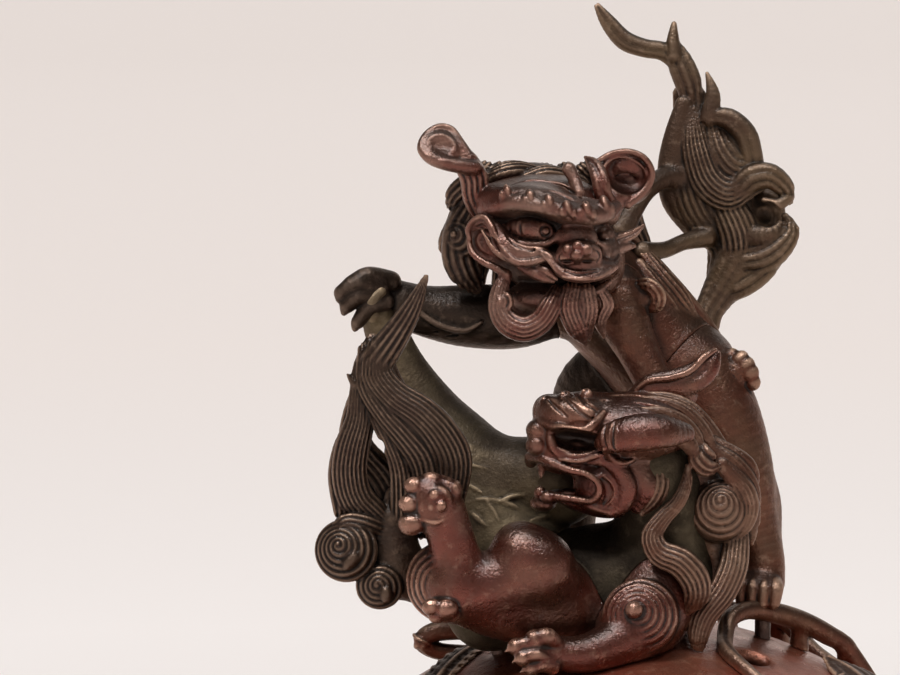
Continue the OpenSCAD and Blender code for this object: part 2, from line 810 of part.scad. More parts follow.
module upper_lion_reaching_arm() {
    color(bronze)
        difference() {
            on_cover() upper_lion_reaching_arm_form();
            at_apex() {
                upper_trunk();
                upper_lion_head_form();
                lower_lion_far_hind_leg_form();
            }
        }
}

module upper_lion_standing_arm_form() {
    limb([[-5, 4, 64], [-2.5, 1, 58.5], [0.5, -1, 52], [3, -3, 48]], [6, 5, 4.2, 3.8]);
    aimed([4.5, -3.6, 45.5], [0.7, -0.3, -0.6], [0.6, 0, 0.8]) paw(0.85 * paw_r_drawn);
    aimed([2.5, 0, 66], [1, 0, 0], [0.1, -1, 0.2]) coil(2.8);
    bead([-4, 3, 64], [2, 1, 66], 3, 2);
}

module upper_lion_standing_arm() {
    color(bronze)
        difference() {
            on_cover() upper_lion_standing_arm_form();
            at_apex() {
                upper_trunk();
                upper_lion_head_form();
                lower_lion_head_form();
                lower_lion_mane_form();
            }
        }
}

module upper_lion_near_hind_leg_form() {
    limb([[11, 11, 48], [17.5, 8, 39], [21.5, 6, 26], [23.5, 4, 13], [24, 2.5, 8]], [10, 8, 5.2, 4.4, 4]);
    aimed([24.5, 1.5, 6], [-0.5, -1, -0.05], [0, 0, 1]) paw(paw_r_drawn);
    lock([[15, 8, 53], [19, 6, 53.5], [23, 5, 48.5], [21, 5, 45]], [2.2, 2.6, 2.2, 1], 0.8);
}

module upper_lion_near_hind_leg() {
    color(bronze)
        difference() {
            on_cover() upper_lion_near_hind_leg_form();
            at_apex() {
                upper_trunk();
                lower_lion_mane_form();
                lower_trunk();
                vine_right_form();
            }
        }
}

module upper_lion_far_hind_leg_form() {
    limb([[3, 21, 50], [-10, 28, 42], [-11.5, 32, 22], [-12.5, 33, 4]], [8.4, 6.6, 4.6, 4]);
    aimed([-13.5, 33, -1.6], [-1, -0.1, -0.15], [0, 0, 1]) paw(1.1 * paw_r_drawn);
}

module upper_lion_far_hind_leg() {
    color(bronze)
        difference() {
            on_cover() upper_lion_far_hind_leg_form();
            at_apex() {
                upper_trunk();
                lower_lion_far_foreleg_form();
            }
        }
}

module upper_lion_tail_form() {
    limb([[7, 19, 54], [13, 22, 58.5], [17, 23.5, 66]], [3.6, 3.4, 4]);
    lock(
        [[16, 23, 63], [21, 25, 73], [19.5, 26, 84], [15, 26, 97], [11, 26, 106]],
        [4, 9, 9, 5.4, 4.4], 0.6
    );
    lock([[11, 26, 103], [9.5, 26, 110], [6, 26, 114], [-1, 26, 115], [-4.5, 26, 118.5], [-8, 26, 123]],
        [4.4, 4, 2.8, 2.4, 2, 0.6], 0.7);
    lock([[8, 26, 112], [8, 26, 116], [8, 26, 120]], [2, 1.4, 0.4], 0.8);
    lock([[17, 24, 94], [15.8, 23.5, 102], [15.5, 24, 109.5]], [2.4, 1.8, 0.4], 0.8);
    lock([[15, 22, 88], [21, 22, 96], [25, 23, 89]], [3, 3.4, 2], 0.7);
    lock([[20, 23, 84], [26, 22.5, 89.5], [31, 22, 85], [30.5, 22, 82]], [4, 3.4, 2.2, 0.8], 0.8);
    lock([[22, 24, 75], [27, 23, 75], [31, 22, 77], [31.5, 22, 80]], [4.4, 3.6, 2, 0.7], 0.8);
    lock([[18, 24, 68], [22, 24, 69.5], [26, 23, 73]], [4, 3.4, 1.6], 0.8);
    lock([[10, 24, 84], [9, 24, 77], [13, 23, 73]], [3.6, 3, 1.6], 0.7);
    bead([-3, 13, 79], [0.5, 17, 86], 2.3, 2.2);
    bead([0.5, 17, 86], [13, 25, 90], 2.2, 2.4);
    bead([2, 14, 75], [8, 17, 74], 1.8, 2);
    bead([8, 17, 74], [15, 22, 76], 2, 2.2);
}

module upper_lion_tail() {
    color(bronze_dark)
        difference() {
            on_cover() upper_lion_tail_form();
            at_apex() {
                upper_trunk();
                upper_lion_mane_form();
            }
        }
}

bowl();
bowl_shoulder();
foot_left();
foot_right();
foot_back();
foot_rivets();
handle_left();
handle_right();
handle_rivets();
ash_liner();
lid();
vine_right();
vine_left();
vine_back();
leaf_front_left();
leaf_front();
leaf_right();
lower_lion_torso();
lower_lion_head();
lower_lion_mane();
lower_lion_tail();
lower_lion_near_foreleg();
lower_lion_far_foreleg();
lower_lion_near_hind_leg();
lower_lion_far_hind_leg();
upper_lion_torso();
upper_lion_head();
upper_lion_mane();
upper_lion_tail();
upper_lion_reaching_arm();
upper_lion_standing_arm();
upper_lion_near_hind_leg();
upper_lion_far_hind_leg();
lion_rivets();
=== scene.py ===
import json
import math
from concurrent.futures import ThreadPoolExecutor
from functools import reduce

import bpy
import numpy as np
import openvdb
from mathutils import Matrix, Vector


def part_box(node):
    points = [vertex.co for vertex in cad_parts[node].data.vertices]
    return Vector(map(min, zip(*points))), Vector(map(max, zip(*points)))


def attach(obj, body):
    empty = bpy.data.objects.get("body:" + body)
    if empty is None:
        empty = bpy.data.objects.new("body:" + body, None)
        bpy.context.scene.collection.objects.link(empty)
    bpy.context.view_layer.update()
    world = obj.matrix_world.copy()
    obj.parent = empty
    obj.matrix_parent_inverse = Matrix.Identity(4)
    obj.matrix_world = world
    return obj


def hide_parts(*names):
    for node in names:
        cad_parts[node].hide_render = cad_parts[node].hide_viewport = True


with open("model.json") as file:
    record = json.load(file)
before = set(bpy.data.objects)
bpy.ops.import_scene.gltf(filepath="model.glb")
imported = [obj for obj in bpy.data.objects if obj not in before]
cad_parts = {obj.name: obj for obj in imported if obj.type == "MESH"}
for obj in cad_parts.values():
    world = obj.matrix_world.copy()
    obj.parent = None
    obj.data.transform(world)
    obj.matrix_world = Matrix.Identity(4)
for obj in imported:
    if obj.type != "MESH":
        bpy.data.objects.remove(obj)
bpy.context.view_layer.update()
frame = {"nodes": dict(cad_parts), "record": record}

# Distances are in mm from the apex of the cover until a mesh is made. The camera looks at TARGET from
# DISTANCE away and TILT above the level; FOCAL is its focal length in pixels of a WIDE x HIGH picture.
MM = 0.001
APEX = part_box("lid")[1].z
WIDE, HIGH = 900, 675
TARGET = np.array([-38.0, 0.0, 57.0])
DISTANCE = 800.0
TILT = math.radians(5)
FOCAL = 4000.0
EYE = TARGET + DISTANCE * np.array([0, -math.cos(TILT), math.sin(TILT)])
AHEAD = np.array([0, math.cos(TILT), -math.sin(TILT)])
RIGHT = np.array([1.0, 0, 0])
UP = np.array([0, math.sin(TILT), math.cos(TILT)])
FRONT, BACK, TOP = (0, -1, 0), (0, 1, 0), (0, 0, 1)
# Radius of the dome, the gap left between it and what sits on it, and how far out distances are kept
DOME_R = 86.0
SEAT = 0.12
BAND = 3.0
# Voxel sizes, finest where the carving is
FACE, HAIR, FAR_HAIR, BODY, PLANT = 0.22, 0.24, 0.26, 0.36, 0.3
# The least radius of a bar, the limits of the steps along it, and how softly limbs run into the trunk
THINNEST = 0.12
SHORT_STEP, LONG_STEP = 0.7, 1.8
MELT = 2.2
RAY_STEPS = 500
# How far round a point its surroundings are averaged, and what height over them counts as full
FINE_REACH, FINE_HEIGHT = 0.55, 0.22
BROAD_REACH, BROAD_HEIGHT = 3.0, 1.1


def mm(x, y, z):
    return np.array([x, y, z], float)


def over(x, y, height):
    """A point at a height over the dome of the cover."""
    return mm(x, y, math.sqrt(DOME_R ** 2 - x * x - y * y) - DOME_R + height)


def place(point):
    """A point given in mm, or as (column, row, depth): where the picture shows it, and its y in mm."""
    if isinstance(point, np.ndarray):
        return point
    column, row, depth = point
    ray = AHEAD + RIGHT * (column - WIDE / 2) / FOCAL + UP * (HIGH / 2 - row) / FOCAL
    return EYE + ray * (depth - EYE[1]) / ray[1]


def unit(v):
    v = np.asarray(v, float)
    return v / np.linalg.norm(v)


def soft_min(a, b, soft):
    mix = np.clip(0.5 + (b - a) * (0.5 / soft), 0, 1)
    return b + (a - b) * mix - soft * mix * (1 - mix)


def smooth_run(points, widths, spacing):
    """Points and widths on the smooth curve through the given ones."""
    points = np.array([place(p) for p in points], float)
    if np.isscalar(widths):
        widths = [widths] * len(points)
    rows = np.column_stack([points, np.array(widths, float)])
    out = []
    for i in range(len(rows) - 1):
        a, b, c, d = rows[max(i - 1, 0)], rows[i], rows[i + 1], rows[min(i + 2, len(rows) - 1)]
        steps = max(2, math.ceil(np.linalg.norm(c[:3] - b[:3]) / spacing))
        for t in np.arange(steps) / steps:
            bent = 2 * b + (c - a) * t + (2 * a - 5 * b + 4 * c - d) * t ** 2
            out.append(0.5 * (bent + (3 * b - a - 3 * c + d) * t ** 3))
    out.append(rows[-1])
    out = np.array(out)
    return out[:, :3], np.maximum(out[:, 3], THINNEST)


def valley(phase):
    """Round ridges with sharp valleys at whole numbers of phase."""
    return 1 - np.abs(np.sin(math.pi * phase))


class Clay:
    """A block of modelling clay: the distance to its surface at every point of a grid."""

    def __init__(self, lo, hi, step):
        self.step = step
        self.lo = np.array(lo, float)
        count = np.ceil((np.array(hi) - self.lo) / step).astype(int) + 1
        self.ticks = [(self.lo[k] + step * np.arange(count[k])).astype(np.float32) for k in range(3)]
        self.field = np.full(count, BAND, np.float32)

    def window(self, lo, hi):
        """The part of the grid between two corners."""
        return tuple(
            slice(
                min(max(int((lo[k] - self.lo[k]) / self.step), 0), len(self.ticks[k])),
                min(max(int((hi[k] - self.lo[k]) / self.step) + 2, 0), len(self.ticks[k])),
            )
            for k in range(3)
        )

    def dots(self, part, origin, *vectors):
        """How far each point of a part lies from origin along each vector."""
        x, y, z = (self.ticks[k][part[k]] - np.float32(origin[k]) for k in range(3))
        for v in vectors:
            v = np.asarray(v, np.float32)
            yield (x * v[0])[:, None, None] + (y * v[1])[None, :, None] + (z * v[2])[None, None, :]

    def join(self, part, form, soft, cut):
        old = self.field[part]
        if cut:
            self.field[part] = -soft_min(-old, form, soft)
        else:
            self.field[part] = soft_min(old, form, soft)

    def tube(self, path, radii, flat=1.0, face=FRONT, grooves=0, depth=0.4, rings=0, soft=0.8, cut=False):
        """A tapering bar along a smooth path, flattened towards face, with grooves along it or rings round it."""
        widest = radii if np.isscalar(radii) else max(radii)
        points, r = smooth_run(path, radii, min(max(0.5 * widest, SHORT_STEP), LONG_STEP))
        along = np.gradient(points, axis=0)
        along /= np.linalg.norm(along, axis=1)[:, None]
        side = np.cross(along, unit(face))
        side /= np.maximum(np.linalg.norm(side, axis=1), 1e-6)[:, None]
        out = np.cross(side, along)
        reach = r.max() + BAND
        whole = self.window(points.min(0) - reach, points.max(0) + reach)
        form = np.full(self.field[whole].shape, BAND, np.float32)
        if form.size == 0:
            return
        last = len(points) - 1
        for k in range(last):
            a, b = points[k], points[k + 1]
            near = max(r[k], r[k + 1]) + BAND
            part = self.window(np.minimum(a, b) - near, np.maximum(a, b) + near)
            local = tuple(slice(p.start - w.start, p.stop - w.start) for p, w in zip(part, whole))
            if form[local].size == 0:
                continue
            step = b - a
            length = np.linalg.norm(step)
            run, s0, s1, o0, o1 = self.dots(
                part, a, step / length ** 2, side[k], side[k + 1], out[k], out[k + 1]
            )
            t = np.clip(run, 0, 1)
            w = (run - t) * np.float32(length)
            u = s0 + t * (s1 - s0) - t * t * np.float32(step @ side[k + 1])
            u -= t * (1 - t) * np.float32(step @ side[k])
            v = o0 + t * (o1 - o0) - t * t * np.float32(step @ out[k + 1])
            v -= t * (1 - t) * np.float32(step @ out[k])
            width = np.float32(r[k]) + t * np.float32(r[k + 1] - r[k])
            v = v * np.float32(1 / flat)
            square = u * u + w * w
            rho = np.sqrt(square + v * v) + np.float32(1e-5)
            steep = np.sqrt(square + v * v * np.float32(1 / flat ** 2)) + np.float32(1e-5)
            d = (rho - width) * rho / steep
            if grooves:
                # Grooves get shallow where they crowd
                across = u / width * 0.5 * grooves
                fade = np.minimum(width * np.float32(1.6 / grooves * 1.5), 1)
                d += np.float32(depth) * fade * valley(across + 0.5 * (grooves % 2))
            if rings:
                d += np.float32(depth) * valley((k + t) / last * rings)
            np.minimum(form[local], d, out=form[local])
        self.join(whole, form, soft, cut)

    def bars(self, *rows):
        """Plain bars, each a row of path, radii, softness and, where it is flattened, by how much."""
        for path, radii, soft, *flat in rows:
            self.tube(path, radii, *flat, soft=soft)

    def locks(self, *rows):
        """Grooved bars, each a row of path, radii, flatness, the grooves' number and depth, and softness."""
        for path, radii, flat, grooves, depth, soft in rows:
            self.tube(path, radii, flat, grooves=grooves, depth=depth, soft=soft)

    def cuts(self, *rows):
        """Channels, each a row of path, radii and softness."""
        for path, radii, soft in rows:
            self.tube(path, radii, soft=soft, cut=True)

    def blob(self, centre, axes, along=(1, 0, 0), face=FRONT, soft=0.8, cut=False):
        """An egg with its half-axes along, towards face, and across both."""
        centre = place(centre)
        if np.isscalar(axes):
            axes = (axes, axes, axes)
        a = unit(along)
        c = unit(np.cross(a, face))
        b = np.cross(c, a)
        reach = max(axes) + BAND
        part = self.window(centre - reach, centre + reach)
        if self.field[part].size == 0:
            return
        near, far = np.float32(1e-9), np.float32(1e-9)
        for dot, axis in zip(self.dots(part, centre, a, b, c), axes):
            square = dot * dot
            near = near + square * np.float32(1 / axis ** 2)
            far = far + square * np.float32(1 / axis ** 4)
        near = np.sqrt(near)
        self.join(part, near * (near - 1) / np.sqrt(far), soft, cut)

    def blobs(self, *rows):
        """Eggs, each a row of centre, half-axes and softness."""
        for centre, axes, soft in rows:
            self.blob(centre, axes, soft=soft)

    def coil(
        self, centre, normal, r, turns=3.0, thick=0.5, depth=0.45, hand=1, knob=0.22, soft=0.5, lean=(0.12, -0.2)
    ):
        """A coil of hair: a low dome with a spiral groove, or rings where hand is 0, and a knob at its eye.

        lean moves the eye off the middle, as a share of r.
        """
        centre = place(centre)
        n = unit(normal)
        a = unit(np.cross(n, (0.03, 0.02, 1)))
        b = np.cross(n, a)
        reach = r + BAND
        part = self.window(centre - reach, centre + reach)
        if self.field[part].size == 0:
            return
        u, v, w = self.dots(part, centre, a, b, n)
        rho = np.sqrt(u * u + v * v)
        rise = w / np.float32(thick)
        near = np.sqrt(rho * rho + rise * rise) / np.float32(r) + np.float32(1e-6)
        steep = np.sqrt(rho * rho + rise * rise / np.float32(thick ** 2)) / np.float32(r * r) + np.float32(1e-6)
        d = near * (near - 1) / steep
        off = r * np.asarray(lean, np.float32)
        u, v = u - off[0], v - off[1]
        rho = np.sqrt(u * u + v * v) + np.float32(1e-4)
        towards = (u * off[0] + v * off[1]) / rho
        edge = np.sqrt(np.float32(r * r) - off @ off + towards * towards) - towards
        phase = rho / edge * np.float32(turns) - hand * np.arctan2(v, u) / (2 * math.pi)
        d += np.float32(depth) * valley(phase) * np.clip(rho / np.float32(knob * r + 0.3) - 0.7, 0, 1)
        self.join(part, d, soft, False)
        if knob:
            self.blob(centre + n * thick * r * 0.9 + a * off[0] + b * off[1], knob * r, soft=0.3)

    def trace(self, pixels):
        """The points of the surface that the picture shows at these columns and rows."""
        near, far = self.ticks[1][0], self.ticks[1][-1]
        ends = np.array(self.field.shape) - 1
        found = []
        for column, row in pixels:
            ray = np.linspace(place((column, row, near)), place((column, row, far)), RAY_STEPS)
            voxels = np.clip(np.round((ray - self.lo) / self.step).astype(int), 0, ends)
            solid = self.field[tuple(voxels.T)] < 0
            if solid.any():
                found.append(ray[np.argmax(solid)])
        return found

    def chase(self, lines, r, raised=False):
        """Lines chased into the surface, or raised on it."""
        for pixels in lines:
            points = self.trace(pixels)
            if len(points) > 1:
                self.tube(points, [0.5 * r] + [r] * (len(points) - 2) + [0.5 * r], soft=0.25, cut=not raised)


def blurred(field, reach):
    """The mean of a field over a box of reach voxels each way."""
    out = field
    size = 2 * reach + 1
    for axis in range(3):
        pad = [(0, 0)] * 3
        pad[axis] = (reach + 1, reach)
        total = np.cumsum(np.pad(out, pad, mode="edge"), axis=axis, dtype=np.float32)
        upper = np.take(total, np.arange(size, total.shape[axis]), axis=axis)
        lower = np.take(total, np.arange(0, total.shape[axis] - size), axis=axis)
        out = (upper - lower) / np.float32(size)
    return out


def sampled(field, points):
    """A field's values at points between its voxels."""
    base = np.clip(np.floor(points).astype(int), 0, np.array(field.shape) - 2)
    rest = points - base
    value = 0
    for corner in np.ndindex(2, 2, 2):
        share = np.prod(np.where(corner, rest, 1 - rest), axis=1)
        value = value + share * field[tuple((base + corner).T)]
    return value


def skin(clay, field=None, whole=None):
    """Points in metres, four-sided faces, and at each point how far it stands out, finely and broadly.

    field is the clay's own unless given; whole is the field that the point stands out of.
    """
    field = clay.field if field is None else field
    if clay.lo[2] < 0:
        x, y, z = clay.ticks
        level = x[:, None, None] ** 2 + y[None, :, None] ** 2 + (z[None, None, :] + DOME_R) ** 2
        field = np.maximum(field, DOME_R + SEAT - np.sqrt(level))
    grid = openvdb.FloatGrid(background=BAND)
    grid.copyFromArray(np.minimum(field, BAND))
    points, quads = grid.convertToQuads(isovalue=0.0)
    whole = field if whole is None else whole
    stands = []
    for reach, height in ((FINE_REACH, FINE_HEIGHT), (BROAD_REACH, BROAD_HEIGHT)):
        mean = blurred(whole, max(1, round(reach / clay.step)))
        stands.append(np.clip(0.5 + 0.5 * (sampled(mean - whole, points) / height), 0, 1))
    points = (points * clay.step + clay.lo + (0, 0, APEX / MM)) * MM
    return points, quads, *stands


def cast(clays):
    """The skins of forms modelled on one grid, run together softly and parted where they meet."""
    whole = reduce(lambda a, b: soft_min(a, b, MELT), (c.field for c in clays.values()))
    skins = {}
    for name, clay in clays.items():
        rest = reduce(np.minimum, (c.field for n, c in clays.items() if n != name))
        skins[name] = skin(clay, np.maximum(whole, (clay.field - rest) * 0.5), whole)
    return skins


def paw(clay, wrist, ahead, top, r):
    """Four clawed toes side by side along ahead, with the back of the paw towards top."""
    wrist = place(wrist)
    f = unit(ahead)
    s = unit(np.cross(top, f))
    u = np.cross(f, s)
    clay.blob(wrist + 0.15 * r * f, (1.15 * r, 0.8 * r, 0.95 * r), along=f, face=u, soft=1.5)
    for k in (-1.5, -0.5, 0.5, 1.5):
        root = wrist + 0.3 * r * f + 0.42 * k * r * s + 0.25 * r * u
        bend = wrist + (1.05 - 0.1 * abs(k)) * r * f + 0.52 * k * r * s + 0.15 * r * u
        tip = wrist + (1.38 - 0.12 * abs(k)) * r * f + 0.52 * k * r * s - 0.45 * r * u
        clay.tube([root, bend, tip], [0.4 * r, 0.4 * r, 0.3 * r], soft=0.25)
        clay.tube([tip, tip + 0.3 * r * f - 0.25 * r * u], [0.2 * r, 0.04 * r], soft=0.2)


def lower_tail():
    """The lower lion's tail: long locks over coils."""
    c = Clay((-68, -28, -14), (-30, -4, 74), HAIR)
    c.tube([mm(-32, -8, 6), mm(-40, -11, 9), mm(-48, -14, 13), (392, 520, -14)], [5, 5, 5.4, 4], soft=2)
    c.blob((385, 555, -13), (6, 4.5, 9), soft=2)
    # The long lock, from its tip down to where it spreads over the paw
    c.locks(
        ([(426, 277, -20.5), (412, 308, -20), (396, 334, -19.5), (379, 358, -19)], [0.6, 2.1, 3.0, 3.6], 0.75, 5,
          0.4, 0.8),
        ([(380, 350, -19.5), (377, 374, -20), (394, 396, -20.5), (420, 414, -20.5), (440, 436, -20),
          (451, 462, -18.5), (448, 500, -16)], [2.8, 3.2, 3.4, 3.8, 4.2, 4.4, 3.4], 0.6, 9, 0.38, 0.4),
        ([(368, 352, -18), (369, 384, -19), (386, 412, -20), (406, 434, -20), (424, 458, -19), (430, 490, -17)],
          [2.2, 2.6, 2.8, 3.2, 3.6, 3], 0.7, 7, 0.36, 0.4),
        ([(370, 392, -18), (379, 418, -19), (392, 444, -19), (402, 472, -18), (404, 512, -16)],
          [1.8, 2, 2.2, 2.6, 3], 0.8, 6, 0.36, 0.4),
    )
    # The lock on the left, round the hollow and into the coil
    c.locks(
        ([(372, 340, -17), (364, 366, -17.5), (361, 392, -18), (360, 420, -18), (353, 446, -18), (350, 472, -17.5),
          (356, 498, -17), (374, 518, -16), (392, 532, -15)], [1.4, 2.2, 2.4, 3, 3.6, 3.8, 3.8, 3.6, 2.4], 0.65, 9,
          0.4, 0.4),
        ([(352, 420, -15), (344, 446, -15), (341, 476, -15), (345, 508, -16)], [1, 2.2, 2.8, 2.6], 0.8, 5, 0.4,
          0.4),
    )
    c.tube([(357, 384, -18.5), (352, 379, -18), (347, 374, -17)], [1.2, 0.8, 0.2], soft=0.4)
    c.tube([(398, 500, -14), (392, 540, -14), (396, 580, -14)], [3, 3.6, 3], grooves=4, soft=0.6)
    c.blob((377, 468, -17), (2.2, 2.4, 4.6), soft=0.6, cut=True)
    c.blob((379, 446, -17), (1.2, 8, 1.6), soft=0.5, cut=True)
    # Coils at its root
    c.coil((346, 550, -18.6), (-0.25, -1, 0.1), 6.4, turns=6, thick=0.6, depth=0.4, knob=0)
    c.blob((351, 560, -22), (1.3, 1.4, 2.2), along=(0.8, 0, -0.6), soft=0.5)
    c.tube(
        [(378, 532, -17), (362, 526, -19), (346, 524, -19.6), (333, 534, -19)], [2.6, 2.6, 2.2, 1], 0.6, grooves=5,
        depth=0.36, soft=0.5,
    )
    c.coil((380, 586, -18.5), (0, -1, -0.1), 4.8, turns=4.6, thick=0.6, depth=0.36, hand=-1, knob=0)
    c.blob((386, 594, -21), (1.2, 1.2, 1.7), soft=0.5)
    c.coil((352, 532, -10), (-0.7, 0.6, 0.3), 5.4, turns=4, thick=0.6, knob=0.2)
    # Its back, which the picture doesn't show
    c.tube(
        [(400, 520, -10), (380, 480, -9), (356, 446, -10), (360, 400, -12), (378, 360, -15)],
        [4, 4.4, 3.6, 2.6, 1.4], 0.7, face=BACK, grooves=7, soft=0.6,
    )
    c.tube(
        [(420, 520, -10), (436, 470, -10), (420, 430, -12), (396, 396, -14), (384, 356, -16)], [4, 5, 4.6, 3, 1.6],
        0.7, face=BACK, grooves=8, soft=0.6,
    )
    return {"lower_lion_tail": skin(c)}


def upper_tail():
    """The upper lion's tail: a plume on two struts."""
    c = Clay((-13, 6, 46), (36, 35, 126), FAR_HAIR)
    c.tube(
        [mm(6, 18, 53), (700, 330, 21), (709, 310, 22.5), (722, 288, 23.5), (738, 262, 24)], [4, 3.4, 3.2, 4, 5],
        0.8, grooves=4, depth=0.2, soft=1,
    )
    # The broad plume
    c.tube(
        [(693, 96, 25.5), (698, 128, 25), (703, 165, 24.5), (712, 200, 24.5), (731, 230, 25), (741, 255, 25),
         (727, 284, 24)],
        [2.6, 5.6, 8, 8.4, 6.4, 6.4, 4], 0.42, grooves=13, depth=0.28, soft=0.8,
    )
    c.tube(
        [(684, 104, 24), (676, 138, 23.5), (672, 170, 23.5), (676, 200, 24.5), (690, 226, 25)], [1.8, 2.6, 3, 3, 2],
        0.7, soft=0.8,
    )
    c.locks(
        ([(692, 112, 23.5), (696, 148, 22), (707, 180, 21.4), (727, 194, 21.2), (748, 184, 21.6), (766, 178, 22)],
          [1.6, 3, 3.6, 3.6, 3, 2], 0.55, 7, 0.4, 0.5),
        ([(712, 126, 23.5), (720, 152, 22.6), (734, 168, 22.4), (752, 168, 22.6)], [1.8, 3.2, 3.4, 2.6], 0.6, 5,
          0.3, 0.6),
        ([(722, 200, 23), (732, 216, 22.2), (740, 240, 22.2), (736, 268, 23)], [2.4, 3.8, 4, 2.2], 0.6, 7, 0.36,
          0.5),
    )
    c.blobs(
        ((738, 152, 24), (4.4, 2.4, 6), 1), ((752, 232, 24.4), (5, 2.4, 6), 1), ((766, 214, 26), (4, 2, 5.4), 1),
    )
    # A leaf at its top, the tip bent to the left, and two side points
    c.locks(
        ([(692, 100, 25), (688, 82, 25), (680, 62, 25.4), (673, 44, 26)], [2.2, 3, 2.8, 1.4], 0.6, 3, 0.3, 0.5),
        ([(676, 60, 26), (662, 51, 26), (644, 48, 26), (624, 40, 26), (608, 22, 26), (598, 7, 26)],
          [2.2, 2.1, 2.1, 2.2, 1.8, 0.9], 0.8, 2, 0.25, 0.5),
    )
    c.bars(
        ([(674, 56, 25), (673, 40, 25.5), (674, 24, 26)], [1.6, 1.3, 0.6], 0.4),
        ([(709, 118, 23), (713, 95, 23), (707, 73, 23.5)], [2, 1.5, 0.4], 0.4, 0.8),
    )
    # Curls on its right, round a dark hollow
    c.locks(
        ([(710, 116, 23), (729, 119, 22.4), (745, 134, 22.4), (751, 155, 22.6), (754, 172, 23)],
          [1.8, 2.4, 2.6, 2.6, 2.4], 0.8, 2, 0.25, 0.4),
        ([(738, 190, 22), (752, 178, 21), (770, 176, 20.8), (785, 188, 21.4), (789, 201, 22)], [3, 3, 2.8, 2.2, 1],
          0.8, 3, 0.3, 0.5),
    )
    c.tube([(788, 198, 21), (776, 205, 20.4), (764, 200, 20.6)], [1.2, 1.3, 0.6], soft=0.3)
    c.locks(
        ([(740, 262, 23), (762, 258, 22), (780, 246, 21.6), (791, 230, 21.8), (785, 216, 22)],
          [3.4, 3.6, 3, 1.9, 0.8], 0.8, 4, 0.3, 0.5),
        ([(720, 292, 23), (742, 284, 22.6), (764, 268, 22.4), (782, 250, 22.6)], [2.6, 3, 2.8, 1], 0.8, 3, 0.3,
          0.5),
    )
    c.tube([(748, 236, 22), (762, 236, 21), (774, 232, 21), (780, 224, 21.4)], [2.6, 2.2, 1.6, 0.8], 0.8, soft=0.4)
    c.blob((768, 214, 20.6), (2.4, 3.6, 2.6), soft=0.4, cut=True)
    # The two struts that hold it to the neck and the spine
    c.bars(
        ([mm(-3.5, 11, 77.5), (632, 210, 13), (646, 190, 17), (664, 178, 21), (684, 176, 24)],
         [2.8, 2.3, 2.1, 2.2, 2.6], 1),
        ([mm(1, 12, 73.5), (664, 250, 16.5), (684, 242, 20), (706, 237, 23)], [2, 1.7, 1.7, 2.2], 1),
    )
    # Its back
    for shift in (-5.5, 0.5, 6):
        c.tube(
            [mm(19 + 0.3 * shift, 27, 67), mm(22.5 + 0.7 * shift, 29, 75), mm(19.5 + shift, 30, 84),
             mm(15.5 + 0.7 * shift, 30, 95), mm(11 + 0.3 * shift, 28.5, 105)],
            [2.6, 4, 4.2, 3.4, 1.6], 0.5, face=BACK, grooves=6, depth=0.3, soft=0.5,
        )
    return {"upper_lion_tail": skin(c)}


